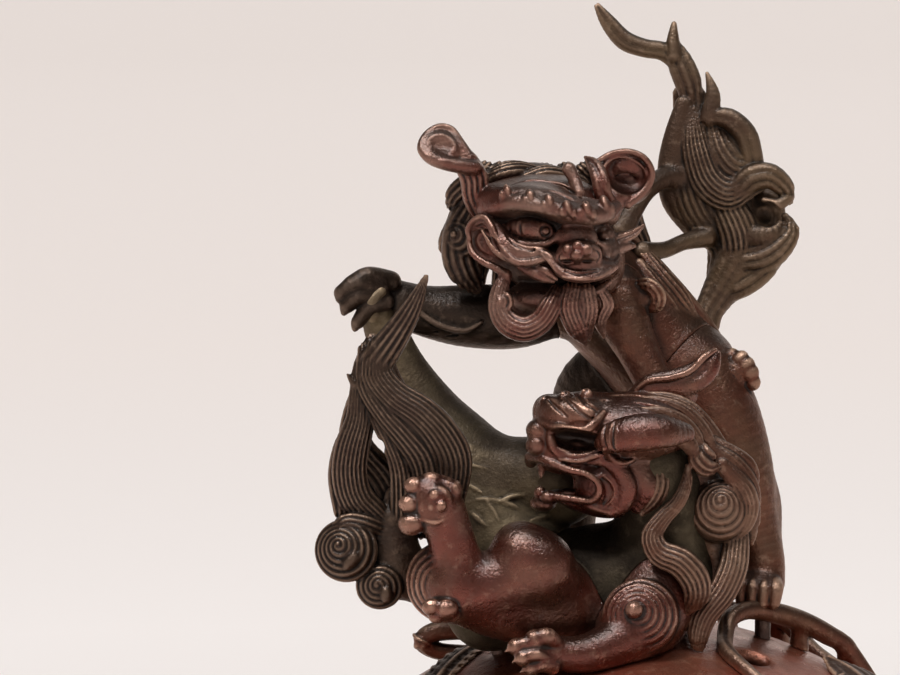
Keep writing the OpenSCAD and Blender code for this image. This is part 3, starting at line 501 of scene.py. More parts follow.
def upper_head():
    """The upper lion's head."""
    c = Clay((-46, -24, 52), (7, 12, 102), FACE)
    c.blobs(((545, 217, 0), (13.5, 11, 8.6), 2), ((552, 250, 0), (12, 11, 8), 3))
    c.tube([(545, 235, 4), (560, 270, 9), (572, 300, 12)], [10, 9, 8], soft=3)
    # Forehead, and the brow that overhangs the eyes
    c.blob((536, 198, -5), (12, 7.5, 4.4), soft=2)
    c.bars(
        ([(494, 204, -7), (515, 200, -11), (542, 203, -13), (568, 209, -13.6), (596, 211, -12)],
          [2.6, 3, 3.2, 3, 2.4], 2),
        ([(484, 210, -7), (497, 207, -10.6), (513, 203, -13.4), (532, 205, -15.2), (551, 208, -16.2),
          (569, 213, -16.6), (589, 216, -15.8), (606, 213, -13), (615, 207, -10)],
          [1.3, 1.5, 1.6, 1.7, 1.7, 1.8, 1.9, 1.8, 1.4], 1),
    )
    for col, row, y, r in (
        (507, 193, -12.8, 1.3), (530, 198, -15.4, 1.3), (549, 203, -16.8, 1.4), (567, 210, -17.8, 1.5),
        (586, 211, -17.2, 1.6), (604, 206, -13.8, 1.7),
    ):
        for shift, drop, share in ((-4, 2, 0.8), (1, -2, 1.1), (6, 3, 0.85)):
            c.blob((col + shift, row + drop, y), (0.62 * r, share * r, share * r), along=(1, 0, 0.35), soft=0.35)
    # Eyes, deep in their sockets
    c.blob((530, 228, -15.4), (6, 5.6, 3.2), along=(1, 0, -0.1), soft=0.5, cut=True)
    c.blob((531, 231, -7.4), (4.4, 3.6, 2.2), along=(1, 0, -0.1), soft=0.3)
    c.bars(
        ([(508, 225, -9.6), (518, 227, -10.6), (531, 229, -11.2), (545, 232, -11.4), (554, 235, -11.4)],
          [0.6, 1.8, 2.3, 1.9, 0.5], 0.3, 0.8),
        ([(504, 226, -10), (508, 236, -11), (521, 243, -12), (538, 245, -12.8), (552, 241, -13), (559, 233, -13)],
          [0.5, 0.7, 0.8, 0.8, 0.7, 0.5], 0.4),
    )
    c.blob((605, 235, -13), (2.4, 4, 2.4), soft=0.5, cut=True)
    c.blob((605, 235, -7.4), (2, 2.4, 1.8), soft=0.3)
    c.tube([(594, 240, -11.6), (603, 245, -11), (611, 243, -9), (614, 236, -7.6)], [0.5, 0.7, 0.7, 0.4], soft=0.4)
    # Nose: low, broad and lumpy
    c.blobs(
        ((577, 238, -12.6), (4, 3, 3.6), 1), ((579, 252, -15.2), (4.4, 3.2, 2.4), 0.8),
        ((566, 257, -15.6), (2.2, 2.2, 1.5), 0.4), ((592, 256, -14.8), (2, 2.2, 1.5), 0.4),
    )
    for col, row, y, r in (
        (568, 249, -17.4, 1), (578, 246, -18, 1.1), (586, 250, -18.2, 1.3), (577, 255, -18.4, 1.2),
        (592, 249, -16.4, 0.9),
    ):
        c.blob((col, row, y), r, soft=0.35)
    c.blob((567, 262, -17.4), (1.3, 1.2, 0.5), soft=0.3, cut=True)
    c.blob((588, 262, -17), (1.3, 1.2, 0.5), soft=0.3, cut=True)
    # Muzzle and cheeks
    c.blobs(
        ((580, 266, -10), (8, 6.6, 2.4), 1.2), ((500, 240, -3.5), (6, 5.6, 6), 1.5),
        ((535, 255, -8), (8, 5.6, 2.4), 1.5), ((606, 256, -7.6), (2.8, 4.2, 4), 1),
    )
    # Mouth, open from cheek to cheek, with the upper fangs
    c.cuts(
        ([(506, 270, -12), (526, 272, -14.5), (545, 277, -16), (566, 285, -17), (588, 286, -15.6),
          (606, 280, -12)], [1, 1.7, 2.2, 1.7, 1.8, 1.2], 0.35),
        ([(516, 282, -11), (536, 289, -12.4), (562, 289, -12.4), (592, 287, -10.6)], [1.8, 3.2, 2.6, 1.6], 0.4),
    )
    c.blob((528, 300, -12), (3.4, 3, 3.6), soft=0.4, cut=True)
    c.bars(
        ([(522, 266, -12), (532, 271, -13.8), (543, 277, -14.6), (553, 281, -14.8)], [1, 1.3, 1.1, 0.5], 0.3),
        ([(536, 266, -14), (548, 272, -15.2), (556, 279, -15.6)], [0.9, 1, 0.4], 0.2),
    )
    # The broad cheek band, with a thin edge that loops back at the left
    c.bars(
        ([(473, 227, -7.4), (483, 222, -9), (492, 230, -10.8), (500, 243, -12.2), (512, 252, -13.2),
          (527, 254, -14.2), (541, 253, -15), (551, 258, -15.6)], [1, 1.5, 2, 2.3, 2.2, 1.6, 1.2, 0.7], 0.6, 0.5),
        ([(470, 239, -6.6), (468, 230, -7), (474, 220, -8.4), (484, 217, -9.8), (491, 225, -11.4),
          (497, 239, -12.6), (505, 253, -13.8), (517, 262, -14.4), (532, 262, -15), (546, 258, -15.8)],
          [0.5, 0.6, 0.6, 0.6, 0.6, 0.6, 0.7, 0.8, 0.8, 0.6], 0.25),
    )
    c.cuts(
        ([(473, 232, -8), (481, 226, -9.8), (488, 233, -11.2), (495, 246, -12.4), (506, 258, -13.4)],
          [0.4, 0.6, 0.6, 0.5, 0.3], 0.2),
        ([(481, 240, -8.8), (486, 251, -9.8), (497, 261, -10.8)], [1.6, 1.7, 1], 0.3),
    )
    # Upper lip under the nose, and its edge up the left of it
    c.bars(
        ([(552, 262, -16), (563, 273, -17), (581, 277, -17.4), (600, 274, -15.4), (613, 267, -12.4),
          (620, 257, -10)], [0.8, 1.1, 1.2, 1.2, 1, 0.5], 0.35),
        ([(539, 251, -15), (549, 256, -16.2), (555, 266, -16.8), (563, 275, -17.6)], [0.4, 0.6, 0.6, 0.5], 0.25),
    )
    # Thin lower lip
    c.bars(
        ([(469, 240, -6.4), (472, 252, -7.4), (482, 261, -8.8), (494, 267, -9.8), (506, 274, -10.4)],
          [0.5, 0.7, 0.7, 0.8, 0.9], 0.3),
        ([(556, 294, -11.6), (574, 295, -12.4), (594, 292, -11.2), (609, 282, -9)], [0.6, 0.9, 0.9, 0.6], 0.4),
    )
    # Chin and beard: a tuft curled up to the left, and straight ones beside it
    c.blobs(((555, 299, -6.5), (9, 4.6, 3.4), 1.5), ((526, 306, -5), (5, 3, 4.6), 1))
    c.tube(
        [(506, 275, -10), (500, 291, -10.6), (499, 308, -11), (508, 323, -11.6), (525, 329, -12.4),
         (541, 321, -12.8), (551, 306, -12.8), (557, 292, -12)],
        [1.3, 1.9, 2.3, 2.6, 2.7, 2.6, 2.4, 1.6], 0.8, grooves=6, depth=0.25, soft=0.4,
    )
    c.coil((503, 303, -11.4), (-0.4, -1, 0), 2.4, turns=2.4, knob=0.25)
    c.locks(
        ([(572, 292, -12.4), (570, 308, -12.6), (577, 328, -11.4), (586, 345, -9.6)], [2.2, 2.6, 2.2, 0.3], 0.8, 6,
          0.28, 0.4),
        ([(586, 292, -12), (588, 310, -11.8), (586, 328, -10.4), (590, 340, -9)], [2, 2.2, 1.6, 0.3], 0.8, 5, 0.26,
          0.4),
        ([(599, 290, -10), (606, 304, -9.6), (600, 320, -9), (604, 338, -7.6)], [1.4, 1.8, 1.5, 0.3], 0.8, 4, 0.25,
          0.4),
    )
    # Left ear: a grooved stem that opens into a hollow spoon
    c.tube(
        [(484, 212, -3), (476, 196, -5), (474, 178, -6), (468, 166, -6)], [3, 2.9, 3, 2.8], 0.7, grooves=5,
        depth=0.4, soft=0.8,
    )
    c.blob((442, 148, -5.5), (4.6, 2.8, 4.2), along=(-0.9, 0, 0.3), face=(-0.1, -0.75, 0.65), soft=1.2)
    c.blob((442, 142, -11.4), (3.9, 4.6, 3.1), along=(-0.9, 0, 0.3), soft=0.6, cut=True)
    c.tube(
        [(474, 168, -7.4), (460, 166, -8.4), (444, 163, -8.6), (430, 158, -8.2), (422, 148, -7), (426, 135, -5.6),
         (438, 127, -4.6), (451, 129, -4.6), (460, 142, -5.6), (468, 158, -6.4)],
        [1.6, 1.5, 1.4, 1.2, 1, 0.7, 0.7, 0.7, 0.9, 1.4], soft=0.6,
    )
    # Horn nub
    c.tube([(579, 193, -10.4), (575, 181, -9), (569, 169, -8)], [1.2, 1.2, 1.4], soft=0.5)
    # Right ear: a hollow cup with a flaring near edge
    c.tube([(608, 214, -5), (612, 200, -4), (618, 188, -2)], [2.4, 2.8, 3.6], soft=1)
    c.blob((625, 179, -1), (5.8, 4, 5), along=(0.85, 0.2, -0.45), soft=1)
    c.blob((628, 176, -6), (5.2, 5.4, 3.7), along=(0.85, 0.2, -0.45), soft=0.5, cut=True)
    c.tube(
        [(613, 172, -1.6), (624, 165, -2), (636, 167, -1.6), (642, 178, -1)], [0.8, 1.6, 1.7, 0.7], 0.6, soft=0.5,
    )
    c.tube(
        [(585, 157, -2.4), (594, 165, -4.6), (600, 178, -6.8), (603, 192, -7.4), (610, 206, -7)],
        [0.4, 1.6, 2, 2, 1.6], 0.6, grooves=2, depth=0.3, soft=0.4,
    )
    c.tube(
        [(596, 162, -3), (612, 154, -2.6), (630, 152, -2.6), (645, 159, -2.8), (652, 174, -2.6), (645, 190, -2.8),
         (628, 204, -4)],
        [0.5, 0.7, 0.7, 0.7, 0.7, 0.8, 1], soft=0.4,
    )
    # Flame of the right cheek, and folds of the far cheek
    c.tube(
        [(610, 242, -7), (622, 238, -6), (634, 233, -5), (644, 225, -4)], [1.8, 1.5, 1.1, 0.3], grooves=2, soft=0.4,
    )
    c.tube([(612, 250, -7.6), (624, 246, -6), (634, 246, -4)], [1.5, 1.3, 0.5], soft=0.4)
    # Far side and back of the jaw
    c.blob((600, 262, -2), (5, 6, 7), soft=2)
    # Chased lines: wrinkles, cheek, the ring of the eye, lips
    c.chase(
        [[(505, 187), (525, 181), (550, 182), (572, 192), (586, 203)],
          [(512, 194), (530, 189), (552, 191), (572, 201)], [(505, 232), (515, 244), (532, 250), (548, 248)],
          [(565, 271), (580, 274), (598, 271)], [(561, 263), (558, 256), (563, 249)],
          [(597, 262), (600, 255), (596, 249)]],
        0.35,
    )
    c.chase([[(477, 227), (484, 227), (490, 235), (495, 243), (500, 251), (508, 257)]], 0.5)
    c.chase(
        [[(546 + 5 * math.cos(t), 231 + 5.5 * math.sin(t)) for t in np.linspace(0, 6, 9)],
          [(520, 223), (520, 231), (521, 239)]],
        0.35,
    )
    c.chase(
        [[(563, 277), (580, 279), (600, 277), (611, 269)], [(541, 254), (550, 262), (556, 271)]], 0.45, raised=True,
    )
    return {"upper_lion_head": skin(c)}


def upper_mane():
    """The upper lion's mane, behind the head."""
    c = Clay((-42, -8, 58), (6, 26, 96), FAR_HAIR)
    c.blobs(((530, 205, 6), (13, 6.5, 8.6), 2), ((545, 245, 9), (12, 6, 9), 2))
    c.locks(
        ([(482, 196, 1), (466, 222, 1.5), (460, 245, 2), (464, 268, 2), (476, 288, 3)], [3, 3.8, 4, 3.8, 1.4], 0.8,
          5, 0.4, 0.6),
        ([(484, 178, 0), (468, 186, 0), (456, 196, 1), (452, 206, 2)], [2.6, 2.8, 2.4, 1.2], 0.8, 4, 0.4, 0.5),
    )
    c.coil((461, 238, 0), (-0.6, -1, 0), 4, turns=3, knob=0.2)
    c.tube(
        [(486, 182, 0), (505, 172, -1), (525, 172, 1), (545, 178, 3)], [2, 2.6, 2.6, 2], 0.8, face=(0, -0.4, 1),
        grooves=6, soft=0.5,
    )
    c.tube(
        [(526, 178, -2), (544, 173, -1), (562, 176, 1), (580, 182, 3)], [1.6, 2, 2, 1.8], 0.8, face=(0, -0.4, 1),
        grooves=4, soft=0.5,
    )
    for x0, x1, drop in (
        (-33, -38, 10), (-29, -33, 16), (-24, -27, 20), (-19, -20, 22), (-14, -13, 21), (-9, -6, 17), (-4, 1, 11),
    ):
        c.tube(
            [mm(x0 * 0.8 - 4, 8, 90), mm(x0, 14, 87), mm(0.5 * (x0 + x1), 18, 83 - 0.4 * drop),
             mm(x1, 18, 84 - drop), mm(x1 + 1.5, 20, 80 - drop)],
            [2.4, 3.2, 3.4, 2.6, 0.3], 0.7, face=BACK, grooves=5, soft=0.5,
        )
    for x, z in ((-30, 78), (-20, 74), (-10, 78)):
        c.coil(mm(x, 17.5, z), (0.02 * (x + 20), 1, 0.1), 4.2, turns=3.5, knob=0.2)
    return {"upper_lion_mane": skin(c)}


def lower_head():
    """The lower lion's head."""
    c = Clay((-27, -32, 18), (20, 4, 60), FACE)
    c.blobs(
        ((628, 430, -13), (14, 10.5, 7.6), 2), ((575, 425, -13), (8, 8.6, 6), 2), ((566, 450, -13), (7, 7.4, 5), 2),
        ((620, 470, -12), (9, 9.6, 8.4), 2),
    )
    # The brow: a smooth wedge with a sharp lower edge and small curls along its top
    c.blob((577, 411, -14), (8.2, 7, 3.6), along=(1, 0, 0.14), soft=1.2)
    c.tube([(549, 409, -9), (549, 409, -15), (566, 413, -18.6), (586, 414, -20)], [2.2, 2.6, 3, 2.6], soft=1.5)
    for col, row, y, r in (
        (546, 403, -16, 1.5), (565, 398, -17, 1.5), (586, 395, -17.6, 1.4), (546, 403, -9, 1.5),
        (566, 398, -8, 1.5),
    ):
        c.coil((col, row, y), (-0.4, -0.7, 0.6), r, turns=1.4, thick=0.8, depth=0.3, knob=0.3, soft=0.6)
    for col, row, y in ((555, 403, -18.4), (575, 400, -19.4)):
        c.tube(
            [(col, row, y), (col + 9, row + 8, y - 2), (col + 18, row + 18, y - 2.6)], [0.2, 0.35, 0.2], soft=0.3,
            cut=True,
        )
    c.tube(
        [(540, 419, -8), (540, 421, -16.8), (555, 426, -20.6), (571, 430, -23.2), (584, 431, -24),
         (595, 423, -23.4), (604, 412, -21.2)],
        [0.9, 0.9, 0.9, 0.9, 1, 0.9, 0.5], 0.8, soft=0.6,
    )
    # Eye, in the shade under it
    c.blob((576, 443, -24.4), (7.4, 7.4, 2.6), along=(1, 0, -0.15), soft=0.4, cut=True)
    c.blob((577, 445, -15.4), (3.2, 2.6, 1.6), soft=0.3)
    c.bars(
        ([(556, 448, -19.4), (572, 456, -20.6), (592, 454, -21.4), (604, 446, -21.6)], [0.4, 0.6, 0.6, 0.4], 0.4),
        ([(551, 428, -18), (551, 440, -18.8), (557, 452, -19.4), (566, 459, -20)], [0.7, 1, 1, 0.6], 0.35),
    )
    # Nose
    c.blobs(
        ((541, 434, -13), (2.8, 5.4, 3.2), 0.8), ((538, 430, -16), (2.4, 3, 2.2), 0.4),
        ((537, 445, -17), (2.2, 2.4, 2.2), 0.4), ((535, 446, -10), (1.9, 2.4, 2.2), 0.4),
    )
    c.blob((530, 449, -16.6), (0.9, 1, 0.7), soft=0.2, cut=True)
    # Cheek and open mouth
    c.blob((604, 484, -14), (6.4, 8, 6.4), along=(1, 0, -0.3), soft=1)
    c.cuts(
        ([(534, 479, -13), (552, 481, -18), (574, 484, -21.6), (589, 488, -23)], [1.6, 2.3, 2.5, 1.9], 0.25),
        ([(530, 480, -12), (556, 482, -13), (580, 486, -15)], [2.2, 3, 2.4], 0.3),
    )
    c.tube([(550, 495, -13), (568, 493, -15), (584, 494, -16)], [1.6, 1.6, 1.2], flat=0.6, face=TOP, soft=0.4)
    c.bars(
        ([(542, 466, -15.5), (541, 477, -15.5)], [1, 0.35], 0.2),
        ([(540, 497, -14.5), (540, 487, -15)], [0.9, 0.35], 0.2),
    )
    # Lips: an edge along the mouth, and a broad flat band round its corner
    c.bars(
        ([(531, 462, -9), (531, 457, -13), (540, 457, -17), (552, 463, -19.4), (570, 470, -21), (586, 474, -21.8),
          (597, 482, -22.2), (599, 493, -22), (591, 501, -21), (574, 499, -19.6)],
          [1.2, 1.2, 1.1, 0.9, 0.8, 0.7, 0.7, 0.7, 0.7, 0.6], 0.3),
        ([(590, 462, -21), (606, 461, -21.8), (621, 472, -21.8), (628, 489, -21.4), (623, 505, -20.6),
          (610, 513, -19.6)], [0.6, 1.3, 1.6, 1.7, 1.6, 1], 0.9, 0.7),
        ([(612, 512, -19.6), (594, 507, -19.8), (576, 500, -19.4), (558, 497, -18), (545, 496, -15.6),
          (540, 499, -12), (541, 500, -9)], [1, 0.9, 0.8, 0.9, 1.2, 1.3, 1.2], 0.4),
        ([(560, 459, -20.2), (580, 461, -21.4), (600, 455, -22), (618, 457, -22)], [0.4, 0.5, 0.6, 0.4], 0.3),
    )
    c.blobs(
        ((543, 503, -13.5), (2.6, 3.4, 1.7), 0.5), ((548, 497, -17), (1.6, 1.4, 1.3), 0.3),
        ((540, 493, -16), (1.2, 1.2, 1.4), 0.3),
    )
    c.blob((590, 506, -13.5), (7, 6, 1.6), along=(1, 0, -0.25), soft=0.8)
    # Near ear, hanging down along the cheek
    c.tube(
        [(599, 443, -22.6), (613, 437, -24.6), (637, 433, -26), (663, 431, -25.4), (686, 432, -22)],
        [1.2, 3.2, 3.8, 3.5, 2], 0.62, face=(0, -1, 0.5), soft=0.5,
    )
    c.tube(
        [(606, 449, -24), (630, 453, -24.6), (655, 446, -24), (676, 440, -22)], [0.6, 1.2, 1.2, 0.7], soft=0.3,
        cut=True,
    )
    # Far ear: a leaf with a hollow along it
    c.tube(
        [(634, 396, -9), (650, 387, -9.6), (672, 384, -9.8), (693, 378, -9.6), (707, 367, -9), (717, 354, -8)],
        [1.6, 2.6, 3, 3, 2.6, 0.8], 0.6, face=(0, -1, 0.3), soft=0.5,
    )
    c.tube(
        [(660, 387, -12.4), (682, 382, -12.8), (700, 372, -12.4), (712, 359, -11)], [0.5, 1.2, 1.7, 0.8], soft=0.3,
        cut=True,
    )
    c.tube(
        [(634, 392, -10), (648, 381, -11), (670, 378, -11.6), (690, 371, -11.4), (704, 357, -10.6), (715, 350, -9)],
        [0.4, 0.6, 0.7, 0.7, 0.7, 0.5], soft=0.3,
    )
    c.blob((678, 395, -8), (4, 3, 3), soft=1)
    # Chased lines from the brow over the crown
    for k in range(6):
        y = -20 + 2.8 * k
        c.tube(
            [(600, 404 - 1.2 * k, y - 1), (622, 399 - 0.8 * k, y - 1.6), (650, 400 - 0.8 * k, y - 2)],
            [0.2, 0.35, 0.25], soft=0.2, cut=True,
        )
    # Folds of the brow, the ear's root and the corner of the mouth
    c.chase(
        [[(549, 400), (557, 408), (567, 417)], [(563, 396), (571, 403), (580, 412), (590, 419)],
          [(576, 394), (585, 403), (598, 411)], [(606, 424), (603, 436), (606, 447)],
          [(615, 421), (612, 435), (614, 449)], [(570, 464), (585, 463), (598, 466)]],
        0.45,
    )
    c.chase([[(602, 479), (608, 487), (609, 496), (604, 504)]], 0.9)
    c.chase([[(604, 449), (610, 458), (622, 463), (633, 460)]], 0.8, raised=True)
    c.chase(
        [[(634 + 4 * k, 403 + 2 * k), (652 + 4 * k, 406 + 2 * k), (672 + 4 * k, 412 + 2 * k)] for k in range(3)],
        0.3,
    )
    # Cheek seen from the back
    c.tube([(640, 470, -18), (650, 490, -18), (640, 505, -17)], [3, 3, 2], soft=1)
    return {"lower_lion_head": skin(c)}


def lower_mane():
    """The lower lion's mane."""
    c = Clay((-8, -28, -8), (28, 6, 50), HAIR)
    c.blobs(((684, 461, -9), (8.4, 8, 9.8), 2), ((705, 520, -9), (8, 6, 10), 2))
    c.tube([(700, 500, -10), (716, 560, -10.6), (706, 600, -13)], [6.5, 4.4, 3.6], soft=2)
    # Hair combed back from the crown, ending in points down the right
    locks = (
        ([(640, 414, -20), (662, 415, -19.8), (681, 424, -19), (693, 438, -18.2), (699, 452, -17.6)],
          [1.4, 1.8, 2, 2, 1]),
        ([(632, 405, -16), (658, 405, -16.2), (682, 414, -16.2), (699, 431, -15.8), (711, 449, -15.4)],
          [1.4, 2, 2.2, 2.2, 1.4]),
        ([(636, 400, -11), (664, 401, -11.4), (687, 410, -12), (705, 428, -12.4), (722, 449, -12.6)],
          [1.4, 2, 2.2, 2.2, 1.6]),
        ([(714, 444, -14), (732, 455, -14), (745, 465, -13.6), (752, 476, -13), (757, 488, -12.4)],
          [1.6, 2, 2.1, 1.6, 0.3]),
        ([(712, 450, -15.6), (732, 464, -15.4), (746, 481, -14.8), (753, 494, -14), (760, 505, -13.2)],
          [1.6, 2.2, 2.2, 1.6, 0.3]),
        ([(722, 466, -16.6), (738, 482, -16.2), (748, 500, -15.6), (753, 512, -14.8), (759, 524, -14)],
          [1.6, 2.2, 2.2, 1.6, 0.3]),
        ([(738, 490, -15.6), (746, 512, -14.8), (750, 530, -14), (752, 545, -13.4)], [1.6, 2, 1.6, 0.3]),
        ([(660, 428, -21), (678, 436, -21), (690, 446, -20.6), (695, 458, -20)], [1.2, 1.7, 1.7, 0.8]),
    )
    for path, widths in locks:
        c.tube(path, widths, 0.6, grooves=7, depth=0.26, soft=0.5)
    # The large curl, which the hair above runs into, and the small one
    c.coil(
        (719, 511, -15.4), (0.1, -1, 0.1), 6.4, turns=6, thick=0.62, depth=0.28, knob=0, hand=-1,
        lean=(0.05, -0.42),
    )
    c.locks(
        ([(727, 540, -16.4), (743, 529, -16.4), (750, 509, -16.2), (744, 488, -16.4), (727, 474, -16.6)],
          [0.5, 1.4, 1.9, 2, 1], 0.6, 5, 0.24, 0.4),
        ([(694, 446, -18.6), (697, 459, -19.4), (706, 468, -19.2), (718, 467, -18)], [0.8, 2, 2, 0.6], 0.8, 3,
          0.36, 0.4),
        ([(702, 444, -18), (706, 453, -18.6), (714, 457, -18)], [0.6, 1.5, 0.6], 0.8, 2, 0.3, 0.35),
    )
    # The long wavy lock in front, and the one behind it
    c.locks(
        ([(688, 466, -20), (686, 484, -20.8), (678, 502, -21.4), (662, 519, -22), (652, 536, -22.6),
          (660, 553, -23), (680, 562, -23.4), (694, 578, -23.2), (697, 596, -22.8), (688, 612, -22)],
          [0.6, 1.3, 1.6, 1.9, 2.3, 2.8, 3.1, 3.2, 2.6, 0.8], 0.7, 6, 0.34, 0.35),
        ([(738, 528, -14.6), (736, 548, -15.4), (733, 568, -16.6), (722, 592, -18), (705, 614, -19.4),
          (698, 636, -20), (700, 656, -20)], [2.2, 2.8, 3, 3, 2.8, 2.2, 0.5], 0.7, 7, 0.3, 0.35),
        ([(650, 456, -18), (660, 476, -19), (656, 496, -19.2), (642, 514, -18.6)], [1.4, 2.2, 2.2, 0.6], 0.8, 4,
          0.3, 0.5),
    )
    # The far side, out of the picture
    for path in (
        [mm(-2, -3, 45), mm(5, 0, 41), mm(9, 2, 33), mm(9, 3, 24)],
        [mm(2, -4, 44.5), mm(9, -1, 39), mm(14.5, 1, 30), mm(15, 2, 20)],
        [mm(6, -7, 43), mm(12.5, -4, 36.5), mm(18.5, -3, 28), mm(19, -2, 18)],
    ):
        c.tube(path, [1.8, 3.2, 3.2, 0.4], 0.7, face=(0.3, 1, 0), grooves=6, depth=0.42, soft=0.4)
    c.coil(mm(13, 0.5, 26), (0.3, 1, 0), 4.6, turns=4, knob=0.18)
    return {"lower_lion_mane": skin(c)}


def lower_body():
    """The lower lion's trunk and legs, which run into each other."""
    lo, hi = (-62, -37, -16), (22, 28, 72)
    names = ("torso", "near_hind_leg", "far_hind_leg", "near_foreleg", "far_foreleg")
    torso, hind, far_hind, fore, far_fore = parts = [Clay(lo, hi, BODY) for _ in names]
    torso.bars(
        ([mm(-30, -8, 4), mm(-20, -8, 6), mm(-8, -8, 8), mm(5, -8, 10)], [9, 10, 10.6, 11.4], 2),
        ([mm(3, -8, 12), mm(4.5, -10, 22), mm(3, -12, 33)], [10.6, 9.6, 8.6], 3),
    )
    torso.blob(mm(-6, -4, 12), (14, 9, 8), soft=3)
    # Belly and chest lines, chased into the skin
    for k in range(5):
        x = -22 + 6 * k
        torso.tube(
            [mm(x, 2, 15 + 0.2 * k), mm(x + 1.5, -6, 17), mm(x + 1, -14, 14.5)], [0.2, 0.45, 0.2], soft=0.3,
            cut=True,
        )
    for k in range(7):
        x = -24 + 5 * k
        torso.blob(mm(x, 8.4 - 0.1 * k, 9 + 0.5 * k), (2.2, 1.6, 2.8), soft=0.8)
    # Near hind leg: haunch, knee like a ball, shank, and the paw held up with its sole to the left
    hind.tube([mm(-12, -13, 4), (556, 592, -17.5), (538, 567, -23)], [7, 6.8, 7.2], soft=2)
    hind.blob((528, 556, -23.5), (7.6, 7, 6.2), along=(1, 0, -0.8), soft=1.2)
    hind.bars(
        ([(530, 570, -23), (500, 582, -24), (472, 590, -24.5), (454, 588, -25)], [7.4, 6.6, 6.4, 6], 2),
        ([(552, 612, -17), (520, 607, -20.5), (486, 602, -22), (462, 596, -23)], [7, 7.2, 6.4, 5.2], 2),
        ([(458, 588, -25), (456, 560, -25.5), (450, 535, -26), (442, 512, -26.5)], [6, 5, 4.6, 4.8], 2),
    )
    hind.blob((433, 505, -27.5), (4.6, 4.2, 6.2), along=(1, 0, 0.35), soft=1)
    for col, row, y, r in (
        (431, 481, -28, 1.8), (414, 486, -28.8, 1.8), (409, 504, -29.4, 1.9), (411, 524, -29.4, 2.3),
    ):
        hind.tube([(col + 18, row + (505 - row) * 0.4, -27), (col + 6, row, y + 0.6)], [2.6, 0.8 * r], soft=0.4)
        hind.blob((col, row, y), (1.1 * r, r, r), soft=0.3)
    hind.blob((438, 502, -30.2), (2.8, 1.7, 3.2), soft=0.5)
    for col, row, y, r in ((434, 495, -31.4, 0.9), (441, 506, -31.6, 1.1), (432, 507, -31.2, 0.8)):
        hind.blob((col, row, y), r, soft=0.5)
    hind.tube([(422, 519, -30.6), (436, 522, -31.2), (448, 517, -30.8)], [0.4, 0.6, 0.3], soft=0.3)
    # Tuft behind its hock, in nested arcs, over two glossy knobs
    hind.coil(
        (446, 582, -24.6), (-0.3, -1, 0), 8.2, turns=8, thick=0.6, hand=0, knob=0, depth=0.4, soft=0.6,
        lean=(-0.3, 0),
    )
    for col, row, y, r in (
        (432, 607, -31.5, 1.7), (446, 609, -31.6, 2), (437, 616, -31, 1.5), (451, 615, -30.6, 1.5),
    ):
        hind.blob((col, row, y), (r * 1.2, r, r), soft=0.35)
    # Far hind leg, thrown up to the left
    far_hind.bars(
        ([mm(-18, -2, 8), mm(-28, 4, 18), (470, 470, 6), (432, 420, 8), (404, 370, 8.5), (385, 330, 8.6)],
         [9, 10.6, 9.4, 7, 4.8, 4.2], 2),
        ([(560, 480, 2), (510, 476, 4), (460, 462, 6)], [9, 8, 7], 2),
    )
    paw(far_hind, (378, 316, 7.6), (-0.4, -0.15, 1), (-1, -0.2, -0.3), 4.2)
    far_hind.tube(
        [(404, 352, 4.4), (418, 385, 2), (440, 428, 0), (470, 452, -1)], [0.2, 0.4, 0.4, 0.2], soft=0.3, cut=True,
    )
    far_hind.chase(
        [[(467, 502), (482, 499), (500, 501), (512, 505), (522, 510)], [(459, 483), (470, 486), (481, 492)],
          [(470, 511), (478, 518), (486, 526)], [(486, 500), (494, 511), (499, 521)],
          [(500, 501), (513, 496), (524, 495)], [(530, 521), (540, 517), (549, 515)],
          [(448, 452), (466, 463), (488, 469)]],
        0.5, raised=True,
    )
    far_hind.tube(
        [(395, 345, 12), (408, 380, 16), (420, 420, 16)], [1, 3, 2.4], 0.7, face=(-0.4, 1, 0), grooves=5, depth=0.4,
        soft=0.6,
    )
    # Near foreleg: a coil of hair on the shoulder and a paw planted at the left
    fore.bars(
        ([mm(4, -14, 9), (650, 615, -18), (632, 632, -21)], [8.4, 7.8, 6.8], 2),
        ([(645, 622, -19), (622, 640, -24), (596, 652, -27), (572, 655, -28.6), (552, 652, -29.4)],
          [6.4, 5.2, 4.2, 3.6, 3.4], 2),
    )
    fore.coil(
        (641, 617, -24.4), (0.02, -1, 0.16), 7.6, turns=6.6, thick=0.48, knob=0, depth=0.36, soft=0.6,
        lean=(0.18, -0.18),
    )
    fore.blobs(((634, 610, -28.6), (1.7, 1.6, 1.7), 0.5), ((540, 654, -30), (4.4, 3.8, 3.4), 1.2))
    for root, col, row, y, r in (
        ((556, 645, -31), 535, 640, -32.6, 2.1), ((546, 652, -32), 516, 647, -33.2, 1.7),
        ((548, 660, -32.4), 523, 658, -34, 1.7), ((552, 667, -32), 531, 668, -33.4, 1.7),
    ):
        fore.tube([root, (col + 12, row - 3, y), (col, row, y)], [1.6, 0.85 * r, 0.8 * r], soft=0.35)
        fore.blob((col, row, y), r, soft=0.3)
        fore.tube([(col - 5, row + 1, y - 0.6), (col - 11, row + 5, y - 0.4)], [0.6, 0.2], soft=0.25)
    # Far foreleg, behind the picture
    far_fore.tube([mm(5, -2, 10), mm(4, 7, 7), mm(-3, 14, 2), mm(-9, 18, 0)], [7, 5.8, 4.4, 3.8], soft=2)
    far_fore.coil(mm(5, 8.6, 9), (0.3, 1, 0.2), 6, turns=4.4, thick=0.5, knob=0.18)
    paw(far_fore, mm(-11, 19.5, -1), (-1, 0.5, -0.1), TOP, 4.2)
    return cast({"lower_lion_" + n: c for n, c in zip(names, parts)})


